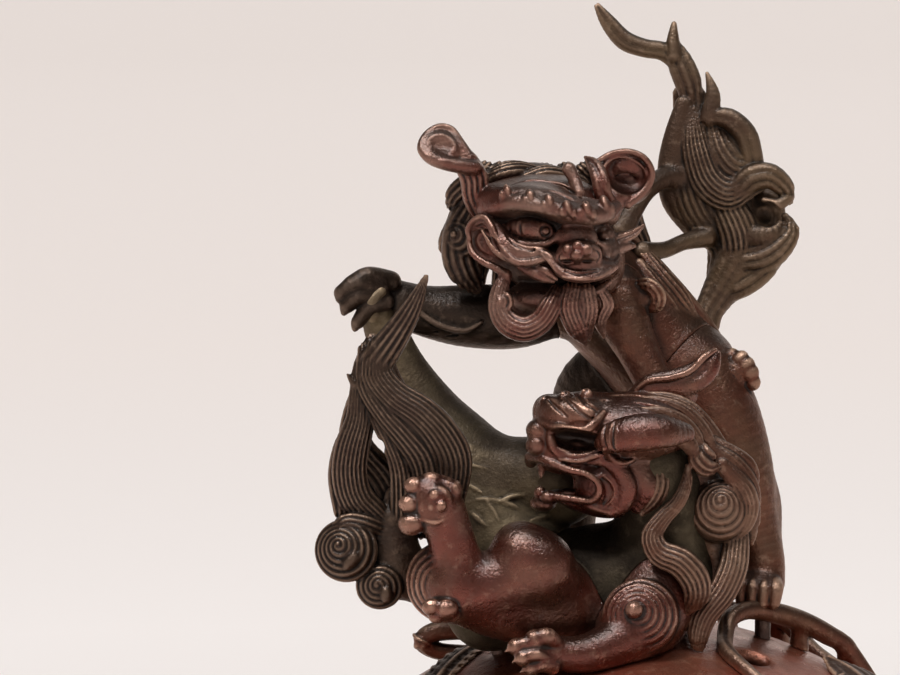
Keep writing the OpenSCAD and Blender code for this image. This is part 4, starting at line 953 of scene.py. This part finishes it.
def upper_body():
    """The upper lion's trunk, arms and hind legs."""
    lo, hi = (-62, -12, -14), (34, 44, 90)
    names = ("torso", "near_hind_leg", "far_hind_leg", "reaching_arm", "standing_arm")
    torso, hind, far_hind, reach, stand = parts = [Clay(lo, hi, BODY) for _ in names]
    torso.bars(
        ([mm(10, 14, 45), mm(3, 14, 54), mm(-6, 13, 63), mm(-13, 10, 72)], [11.4, 11.4, 11, 9.6], 2),
        ([mm(-12, 12, 66), mm(-14, 8, 74), mm(-16, 5, 79)], [10, 8.6, 7], 2),
    )
    torso.blob(mm(9, 15, 48), (10, 11, 9), soft=2)
    # The spine: a low ridge between two chased lines
    spine = [mm(-4, 16, 79.5), mm(3, 18, 71.5), mm(11, 19, 62.5), mm(17, 19, 54), mm(20, 17, 45)]
    torso.tube(spine, [1.2, 1.5, 1.5, 1.4, 0.9], soft=1.2)
    for shift in (-3.2, 3.2):
        torso.tube(
            [p + mm(-0.4 * abs(shift), shift, 0.1 * shift) for p in spine], [0.3, 0.5, 0.5, 0.5, 0.3], soft=0.4,
            cut=True,
        )
    # The end of the mane, lying along the back
    torso.tube(
        [(644, 252, 11), (662, 276, 9.6), (680, 298, 9.6), (699, 322, 11)], [1.4, 2.3, 2.3, 0.5], 0.6,
        face=(0.4, -0.8, 0.4), grooves=4, depth=0.45, soft=0.5,
    )
    torso.tube(
        [(640, 262, 8.4), (656, 284, 7.4), (672, 304, 7.6), (686, 324, 9)], [1.0, 1.7, 1.6, 0.4], 0.6,
        face=(0.4, -0.8, 0.4), grooves=3, depth=0.4, soft=0.5,
    )
    # Near hind leg down the right side, with a tuft on the hip
    hind.bars(
        ([mm(10, 12, 48), mm(15.5, 9, 40), (738, 470, 6.5), (752, 520, 5), (764, 560, 3.6), (766, 580, 2.4)],
         [11, 9.4, 7.2, 5.2, 4.2, 3.8], 2),
        ([(742, 450, 11), (764, 500, 9), (768, 545, 6.5)], [4, 3.4, 2.4], 2),
    )
    hind.tube(
        [(728, 356, 8), (740, 360, 6.4), (749, 373, 5.6), (754, 386, 5.6)], [1.7, 2.1, 2.1, 1.4], 0.8, rings=5,
        depth=0.4, soft=0.5,
    )
    hind.tube(
        [(722, 364, 6.6), (734, 372, 5.2), (742, 384, 5)], [1.4, 1.6, 0.6], 0.8, grooves=3, depth=0.4, soft=0.5,
    )
    paw(hind, (762, 585, 1), (-0.25, -1, -0.2), (0, -0.2, 1), 4.2)
    # Far hind leg, in the dark behind
    far_hind.tube([mm(3, 21, 50), mm(-9, 27, 43), mm(-11.5, 31, 24), mm(-12.5, 33, 6)], [9, 7.4, 5, 4], soft=2)
    far_hind.tube(
        [mm(-14, 34, 24), mm(-16, 37, 17), mm(-15, 37.5, 10)], [1.6, 2.4, 0.5], 0.7, face=BACK, grooves=4, soft=0.6,
    )
    paw(far_hind, mm(-13.5, 32.6, 0), (-1, -0.1, -0.15), TOP, 4.4)
    # Arm that reaches left to the other's foot
    reach.bars(
        ([mm(-14, 12, 66), (520, 314, 11.5), (470, 316, 11.5), (430, 312, 11), (402, 304, 10)],
         [8, 6.8, 6.4, 5.3, 4.6], 2),
        ([(482, 322, 4.6), (465, 330, 5.6), (440, 325, 5.6), (420, 312, 5.8), (410, 300, 6)],
          [0.3, 0.6, 0.7, 0.6, 0.3], 0.5),
    )
    for k in range(5):
        reach.tube(
            [(540 - 24 * k, 330 - k, 6 + 0.4 * k), (528 - 24 * k, 338 - k, 7), (512 - 24 * k, 340 - 2 * k, 8)],
            [0.2, 0.4, 0.2], soft=0.3, cut=True,
        )
    reach.blob((378, 292, 9.5), (5, 4.2, 3.8), soft=1.5)
    for start, bend, end, r in (
        ((390, 282, 7), (368, 277, 4.8), (352, 284, 4.2), 2.1),
        ((380, 288, 5.6), (358, 284, 4), (342, 293, 4), 2.1),
        ((376, 296, 5), (358, 297, 3.6), (347, 306, 3.8), 1.9),
        ((384, 302, 5), (369, 308, 3.8), (358, 322, 4.2), 1.8),
    ):
        reach.tube([start, bend, end], [1.1 * r, r, 0.8 * r], soft=0.5)
        reach.blob((end[0] - 3, end[1] + 4, end[2]), (0.8, 0.8, 1.3), soft=0.3)
    # Arm that presses down on the other's mane
    stand.tube([mm(-5, 4, 65), (622, 318, 1.5), (638, 350, -0.6), (655, 384, -2.6)], [6.4, 5.2, 4.2, 3.8], soft=2)
    stand.tube(
        [(636, 284, 1.6), (648, 284, 0.2), (658, 294, 0), (657, 306, 0.4), (649, 310, 0.8)],
        [1, 1.6, 1.8, 1.5, 0.6], grooves=3, depth=0.4, soft=0.4,
    )
    stand.tube([mm(-3, 3, 65), (640, 300, 2), (650, 296, 1.6)], [3.4, 2.6, 2.2], soft=1)
    paw(stand, (662, 398, -3.4), (0.7, -0.35, -0.62), (0.6, -0.2, 0.8), 3.8)
    return cast({"upper_lion_" + n: c for n, c in zip(names, parts)})


def stem_on_cover(clay, path, r):
    """A vine's stem."""
    clay.tube(path, r, 0.9, face=(0.1, 0.3, 1), grooves=2, depth=0.2, soft=0.6)


def sprouts(clay, path, r):
    """Small leaves on either side of a stem."""
    points, wide = smooth_run(path, r, 9.0)
    for k, (point, w) in enumerate(list(zip(points, wide))[3:-2:4]):
        side = mm(0.3, -0.6 if k % 2 else 0.8, 0.3)
        clay.tube(
            [point, point + 1.8 * w * side, point + 2.6 * w * side + mm(1.4, 0, 0)], [0.8 * w, 0.9 * w, 0.15],
            0.6, face=TOP, grooves=2, depth=0.25, soft=0.6,
        )


def vines():
    """The vines on the cover, with the stubs that hold them to it."""
    right = Clay((8, -36, -26), (60, 14, 8), PLANT)
    stem_on_cover(
        right,
        [over(25, -31, 0.4), over(20, -27, 1), over(16.4, -21, 1.2), (725, 638, -13), (730, 619, -9),
         (748, 610, -5), (775, 613, -1), (803, 622, 2), (828, 635, 4), (847, 648, 5), over(49, 6, 0)],
        [1.3, 1.5, 1.7, 1.8, 1.9, 2.2, 2.4, 2.4, 2.3, 2, 1.5],
    )
    right.tube([(800, 622, 1.5), over(32.5, 3, 0)], [1.6, 2], soft=1)
    right.tube([(845, 646, 5), over(43, 8, 0)], [1.7, 2.2], soft=1)
    left = Clay((-52, 14, -28), (-10, 38, 6), PLANT)
    stem_on_cover(
        left,
        [over(-20, 26, 0), mm(-28, 27, -6), mm(-35, 28, -6.6), mm(-41, 28, -7), mm(-43.6, 28, -9),
         mm(-41, 28.5, -11), mm(-36, 29, -11.6), over(-30, 30, -0.5)],
        [2, 2.2, 2.3, 2.4, 2.2, 2.1, 2, 1.8],
    )
    back = Clay((-4, 14, -26), (52, 46, 2), PLANT)
    bends = [mm(10, 34, -3), mm(20, 35, -3.5), mm(30, 31, -4)]
    path = [over(2, 30, 0), *bends, over(38, 25, 2), over(44, 19, 0)]
    stem_on_cover(back, path, 2.0)
    sprouts(back, path, 2.0)
    for bend, foot in zip(bends, (over(10, 38, 0), over(21, 39, 0), over(32, 35, 0))):
        back.tube([bend, foot], [1.9, 2.6], soft=1)
    return {"vine_right": skin(right), "vine_left": skin(left), "vine_back": skin(back)}


def leaf(clay, plan, widths, lift=0.6):
    """A leaf lying on the cover: a blade with lobes along its edges, and a raised rib."""
    path = [over(x, y, lift + 0.05 * k * widths[k]) for k, (x, y) in enumerate(plan)]
    clay.tube(path, widths, 0.26, face=TOP, grooves=6, depth=0.4, soft=0.5)
    points, wide = smooth_run(path, widths, 3.2)
    along = np.gradient(points, axis=0)
    for k in range(1, len(points) - 1):
        a = unit(along[k])
        for s in (-1, 1):
            across = unit(np.cross(a, TOP)) * s * wide[k]
            lobe = [points[k], points[k] + 0.6 * across + 0.8 * a, points[k] + 1.02 * across + 2.4 * a]
            clay.tube(lobe, [0.9, 1.2, 0.35], 0.6, face=TOP, soft=0.35)
    clay.tube([p + mm(0, 0, 0.24 * w) for p, w in zip(path, widths)], 0.55, soft=0.4)


def leaves():
    """The leaves on the cover, each of two or three fronds."""
    front_left = Clay((-52, -48, -28), (-6, 10, 2), PLANT)
    leaf(front_left, [(-14, -36), (-22, -35), (-30, -32), (-38, -27), (-44, -21)], [2, 5.5, 6.5, 5, 1.2])
    leaf(front_left, [(-18, -36), (-26, -39), (-34, -37)], [2, 4, 1])
    leaf(front_left, [(-40, -25), (-41.5, -17), (-39, -10), (-35, -3), (-30, 4)], [1.6, 3.6, 3.8, 3.2, 0.8], 0.4)
    front = Clay((-10, -52, -28), (34, -20, 2), PLANT)
    leaf(front, [(-4, -36), (3, -37), (11, -36), (19, -33), (26, -28)], [2, 5.5, 6, 5, 1.4])
    leaf(front, [(0, -37), (5, -43), (13, -45)], [2, 4.5, 1])
    right = Clay((30, -36, -30), (54, 4, 0), PLANT)
    leaf(right, [(38, -4), (42, -9), (44.5, -15), (45, -21), (42, -28)], [1.6, 4.6, 5.4, 4.2, 1], 1.5)
    leaf(right, [(41, -8), (38, -18), (35, -28)], [2, 4, 1])
    return {"leaf_front_left": skin(front_left), "leaf_front": skin(front), "leaf_right": skin(right)}


class Nodes:
    """Shorthand for the node tree of a material or a world."""

    def __init__(self, owner, shader="Principled BSDF"):
        owner.use_nodes = True
        self.owner = owner
        self.tree = owner.node_tree
        self.shader = self.tree.nodes[shader]

    def add(self, kind, inputs=(), **settings):
        node = self.tree.nodes.new(kind)
        for key, value in settings.items():
            setattr(node, key, value)
        for socket, value in dict(inputs).items():
            self.put(node.inputs[socket], value)
        return node

    def put(self, socket, value):
        """Link a socket or set its value, a colour without its alpha."""
        if isinstance(value, bpy.types.NodeSocket):
            self.tree.links.new(value, socket)
        elif hasattr(value, "__len__") and len(value) == 3 and socket.type == "RGBA":
            socket.default_value = (*value, 1)
        else:
            socket.default_value = value

    def put_all(self, **values):
        """Set or link sockets of the shader, named with _ for each space."""
        for name, value in values.items():
            self.put(self.shader.inputs[name.replace("_", " ")], value)

    def noise(self, scale, detail, rough=0.55):
        where = self.add("ShaderNodeTexCoord").outputs["Object"]
        inputs = {"Vector": where, "Scale": scale, "Detail": detail, "Roughness": rough}
        return self.add("ShaderNodeTexNoise", inputs).outputs["Fac"]

    def span(self, value, low, high, to_low=0.0, to_high=1.0):
        """A value brought from one range into another and held within it."""
        inputs = {"Value": value, "From Min": low, "From Max": high, "To Min": to_low, "To Max": to_high}
        return self.add("ShaderNodeMapRange", inputs).outputs["Result"]

    def math(self, kind, a, b):
        return self.add("ShaderNodeMath", {0: a, 1: b}, operation=kind).outputs[0]

    def times(self, a, b):
        return self.math("MULTIPLY", a, b)

    def mix(self, share, a, b):
        """A colour between two: a mix node takes them at its sockets 6 and 7 and gives it at output 2."""
        return self.add("ShaderNodeMix", {0: share, 6: a, 7: b}, data_type="RGBA").outputs[2]

    def seen(self):
        """1 where the camera, a reflection or a view through glass looks."""
        path = self.add("ShaderNodeLightPath").outputs
        bounced = self.math("MAXIMUM", path["Is Glossy Ray"], path["Is Transmission Ray"])
        return self.math("MAXIMUM", path["Is Camera Ray"], bounced)


# Dark colours for hollows in bronze and in copper; the bronze one is also painted shade in deep hollows and on
# undersides
RECESS, RED_RECESS = (0.007, 0.005, 0.004), (0.084, 0.042, 0.028)


def bronze(name, body, dusk, worn_and_highlight, shine, coat=0.14, dust=0.4, metal=0.65, recess=RECESS, chased=True):
    """Patinated bronze: mottled body, dull olive patches, dark patina in hollows with painted shade in deep ones
    and underneath, ridges lightened by wear and painted highlights, dust on top also standing in as a painted sheen
    of the light from above, and an uneven cast skin.
    """
    n = Nodes(bpy.data.materials.new(name))
    broad_noise = n.noise(75, 4)
    patch_noise = n.noise(260, 5, 0.62)
    lumps = n.noise(420, 6, 0.62)
    grain = n.noise(1900, 3)
    colour = n.mix(n.span(broad_noise, 0.42, 0.66, 0, dust), body, dusk)
    colour = n.mix(n.span(patch_noise, 0.35, 0.75, 0, 0.45), colour, recess)
    colour = n.mix(n.span(lumps, 0.56, 0.74, 0, 0.35), colour, worn_and_highlight)
    rough = n.span(patch_noise, 0.3, 0.7, shine - 0.06, shine + 0.16)
    height = n.math("ADD", n.times(lumps, 1.8), n.times(grain, 0.9))
    bump = n.add("ShaderNodeBump", {"Strength": 0.4, "Distance": 0.0004, "Height": height})
    if chased:
        relief = n.add("ShaderNodeAttribute", attribute_name="stands_out").outputs["Color"]
        fine, broad, up = n.add("ShaderNodeSeparateColor", {0: relief}).outputs
        # Lighter where the surface faces up: dust lying on top, and a painted sheen of the light from above where
        # the dull colour is light, as on the rubbed head
        dust_and_top_sheen = n.times(n.span(up, 0.66, 0.95), n.span(broad_noise, 0.38, 0.58, 0.2, 1))
        # Darker in hollows: patina in the fine grooves, and painted shade in broad deep hollows such as eye sockets
        # and mouth
        hollow = n.math("MAXIMUM", n.span(fine, 0.48, 0.25), n.span(broad, 0.42, 0.15))
        # Lighter on ridges: wear, and painted highlights
        ridge = n.times(n.span(fine, 0.56, 0.86), n.span(patch_noise, 0.3, 0.6, 0.25, 1))
        # Darker where the surface faces down: painted shade under things
        painted_underside_shade = n.times(n.span(up, 0.56, 0.14), 0.85)
        colour = n.mix(n.times(dust_and_top_sheen, 1.6 * dust), colour, dusk)
        colour = n.mix(n.math("MAXIMUM", painted_underside_shade, n.times(hollow, 0.9)), colour, recess)
        colour = n.mix(n.times(ridge, 0.7), colour, worn_and_highlight)
        rough = n.math("ADD", rough, n.math("SUBTRACT", n.times(hollow, 0.25), n.times(ridge, 0.06)))
    else:
        # Rounds the facets of a plain CAD mesh
        n.put(bump.inputs["Normal"], n.add("ShaderNodeBevel", {"Radius": 0.003}, samples=8).outputs["Normal"])
    n.put_all(
        Base_Color=colour, Roughness=rough, Metallic=metal, Specular_Tint=(1.0, 0.84, 0.75),
        Coat_Weight=coat, Coat_Roughness=0.12, Normal=bump.outputs["Normal"], Coat_Normal=bump.outputs["Normal"],
    )
    return n.owner


def build(name, points, quads, fine, broad, material):
    """A piece of the cover, which takes the place of the node of that name."""
    mesh = bpy.data.meshes.new(name)
    mesh.vertices.add(len(points))
    mesh.vertices.foreach_set("co", points.astype(np.float32).ravel())
    mesh.loops.add(quads.size)
    mesh.loops.foreach_set("vertex_index", quads[:, ::-1].astype(np.int32).ravel())
    mesh.polygons.add(len(quads))
    mesh.polygons.foreach_set("loop_start", np.arange(0, quads.size, 4, dtype=np.int32))
    mesh.update()
    mesh.validate()
    mesh.shade_smooth()
    normals = np.empty(3 * len(mesh.vertices), np.float32)
    mesh.vertex_normals.foreach_get("vector", normals)
    relief = np.column_stack([fine, broad, 0.5 + 0.5 * normals[2::3], np.ones_like(fine)]).astype(np.float32)
    mesh.attributes.new("stands_out", "FLOAT_COLOR", "POINT").data.foreach_set("color", relief.ravel())
    mesh.materials.append(material)
    piece = bpy.data.objects.new(name + "_chased", mesh)
    bpy.context.scene.collection.objects.link(piece)
    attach(piece, "cover")
    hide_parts(name)


SLOTS = {row["node"]: row["material_slot"] for row in frame["record"]["subparts"]}
# Each finish: colours of the body, its dull patches and its ridges, lightened by wear, then roughness, coat, dust
# and metal; the dull colour on top also paints sheen, and the ridge colour also paints highlights
FINISHES = {
    "bronze": ((0.179, 0.056, 0.031), (0.235, 0.151, 0.087), (0.547, 0.344, 0.234), 0.36),
    "bronze_red": ((0.176, 0.036, 0.020), (0.246, 0.143, 0.087), (0.616, 0.350, 0.245), 0.25, 0.42),
    "bronze_dark": ((0.095, 0.050, 0.031), (0.214, 0.160, 0.088), (0.476, 0.329, 0.224), 0.42, 0.12, 0.5),
    "bronze_dusty": ((0.143, 0.053, 0.029), (0.301, 0.189, 0.123), (0.560, 0.353, 0.246), 0.38, 0.2, 0.5),
    "bronze_olive": ((0.147, 0.102, 0.062), (0.370, 0.281, 0.162), (0.500, 0.370, 0.234), 0.55, 0.05, 0.7),
    # Dark patina with painted shade, for the mane in shadow behind the head and for the lower tail
    "bronze_night": ((0.050, 0.025, 0.017), (0.109, 0.070, 0.042), (0.378, 0.245, 0.168), 0.38, 0.2, 0.4, 0.8),
    "bronze_golden": ((0.084, 0.043, 0.025), (0.210, 0.137, 0.073), (0.420, 0.280, 0.189), 0.42, 0.12, 0.55),
    # Darker, for pieces that lie in shadow: painted shade
    "bronze_shade": ((0.052, 0.031, 0.021), (0.081, 0.062, 0.043), (0.286, 0.195, 0.143), 0.40, 0.12, 0.3, 0.8),
    # Painted shade with dusty olive specks, for the trunk in the dark below
    "bronze_shade_dusty": ((0.048, 0.034, 0.021), (0.153, 0.122, 0.078), (0.309, 0.234, 0.157), 0.55, 0.0, 0.6, 0.8),
    # Its light dull colour, on the up-facing forehead, also paints the sheen of the light from above
    "bronze_rubbed": ((0.174, 0.048, 0.031), (0.420, 0.266, 0.199), (0.560, 0.322, 0.231), 0.29, 0.32, 0.55),
}
# The same for the slots of the nodes that are shown as they are
PLAIN = {
    "bronze": ((0.217, 0.050, 0.028), (0.210, 0.112, 0.067), (0.504, 0.287, 0.196), 0.30, 0.3),
    "bronze_dark": ((0.105, 0.059, 0.048), (0.119, 0.090, 0.064), (0.336, 0.224, 0.168), 0.36),
    "copper": (
        (0.420, 0.175, 0.105), (0.280, 0.154, 0.098), (0.560, 0.280, 0.168), 0.42, 0.14, 0.4, 0.65, RED_RECESS,
    ),
}
# Pieces that differ from the finish of their slot; several are darker as painted shade where they lie in shadow
SPECIAL = {
    "lower_lion_mane": "bronze_dusty", "upper_lion_mane": "bronze_night", "lower_lion_tail": "bronze_night",
    "upper_lion_tail": "bronze_golden", "upper_lion_head": "bronze_rubbed", "lower_lion_torso": "bronze_shade_dusty",
    "lower_lion_far_hind_leg": "bronze_olive", "upper_lion_reaching_arm": "bronze_shade",
    "upper_lion_far_hind_leg": "bronze_shade",
}
chased = {name: bronze(name, *row) for name, row in FINISHES.items()}
plain = {slot: bronze(slot + "_plain", *row, chased=False) for slot, row in PLAIN.items()}

makers = (
    lower_body, upper_body, upper_head, lower_head, upper_tail, lower_tail, lower_mane, upper_mane, vines, leaves,
)
with ThreadPoolExecutor(4) as pool:
    for skins in pool.map(lambda make: make(), makers):
        for name, parts in skins.items():
            build(name, *parts, chased[SPECIAL.get(name, SLOTS[name])])
for name, node in frame["nodes"].items():
    if SLOTS[name] in plain:
        node.data.materials.clear()
        node.data.materials.append(plain[SLOTS[name]])

# Stage: a wide pale floor, its colours at distances in metres from the object, and a world as pale where they meet
FLOOR_R, FLOOR_SIDES = 400, 64
# The floor's colours paint light: darker close to the object to offset the lamps' pool of light, and a little
# darker far off as the light falls away
FLOOR = (
    (0.2, (0.72, 0.67, 0.645)), (0.85, (0.90, 0.835, 0.805)),
    (2.1, (0.915, 0.825, 0.78)), (14, (0.885, 0.795, 0.748)),
)
SKY, CEILING = (0.80, 0.715, 0.67), (0.10, 0.095, 0.09)
# The floor and the world as they light the object, darker than the camera sees them
FLOOR_BOUNCE, AMBIENT = (0.20, 0.18, 0.165), (0.027, 0.026, 0.025)
turns = np.linspace(0, 2 * math.pi, FLOOR_SIDES, endpoint=False)
disc = bpy.data.meshes.new("floor")
disc.from_pydata([(FLOOR_R * math.cos(t), FLOOR_R * math.sin(t), 0) for t in turns], [], [range(FLOOR_SIDES)])
floor = bpy.data.objects.new("floor", disc)
bpy.context.scene.collection.objects.link(floor)
paper = Nodes(bpy.data.materials.new("paper"))
where = paper.add("ShaderNodeTexCoord").outputs["Object"]
distance = paper.add("ShaderNodeVectorMath", {0: where}, operation="LENGTH").outputs["Value"]
shade = FLOOR[0][1]
for (near, _), (far, colour) in zip(FLOOR, FLOOR[1:]):
    shade = paper.mix(paper.span(distance, near, far), shade, colour)
paper.put_all(Base_Color=paper.mix(paper.seen(), FLOOR_BOUNCE, shade), Roughness=0.9)
disc.materials.append(paper.owner)
studio = Nodes(bpy.data.worlds.new("studio"), "Background")
towards = studio.add("ShaderNodeTexCoord").outputs["Generated"]
up = studio.add("ShaderNodeSeparateXYZ", {0: towards}).outputs["Z"]
pale = studio.mix(studio.span(up, 0.06, 0.35), SKY, CEILING)
studio.put_all(Color=studio.mix(studio.seen(), AMBIENT, pale))
bpy.context.scene.world = studio.owner


def show(name, data, towards, where=(0, 0, 0)):
    """Put a light or a camera in the scene, pointed towards a direction."""
    obj = bpy.data.objects.new(name, data)
    obj.location = where
    obj.rotation_euler = Vector(towards).to_track_quat("-Z", "Y").to_euler()
    bpy.context.scene.collection.objects.link(obj)
    return obj


for name, towards, angle, strength in (
    ("key", (0.16, 0.30, -1.0), 20, 2.3),
    ("fill", (0.25, 0.9, -0.7), 60, 0.35),
    ("back", (-0.3, -0.9, -0.7), 60, 0.6),
):
    light = bpy.data.lights.new(name, "SUN")
    light.angle = math.radians(angle)
    light.energy = strength
    show(name, light, towards)
LIONS = Vector((-0.02, 0, 0.19))
for name, where in (("box_left", (-0.34, -0.34, 0.88)), ("box_right", (0.32, -0.30, 0.90))):
    light = bpy.data.lights.new(name, "AREA")
    light.shape = "RECTANGLE"
    light.size, light.size_y = 0.055, 0.075
    light.energy = 2.1
    show(name, light, LIONS - Vector(where), where)

SENSOR = 36
camera = bpy.data.cameras.new("camera")
camera.sensor_width = SENSOR
camera.lens = SENSOR * FOCAL / WIDE
camera.clip_start, camera.clip_end = 0.05, 1000
bpy.context.scene.camera = show("camera", camera, AHEAD, Vector(EYE * MM) + Vector((0, 0, APEX)))
bpy.context.scene.view_settings.view_transform = "Standard"
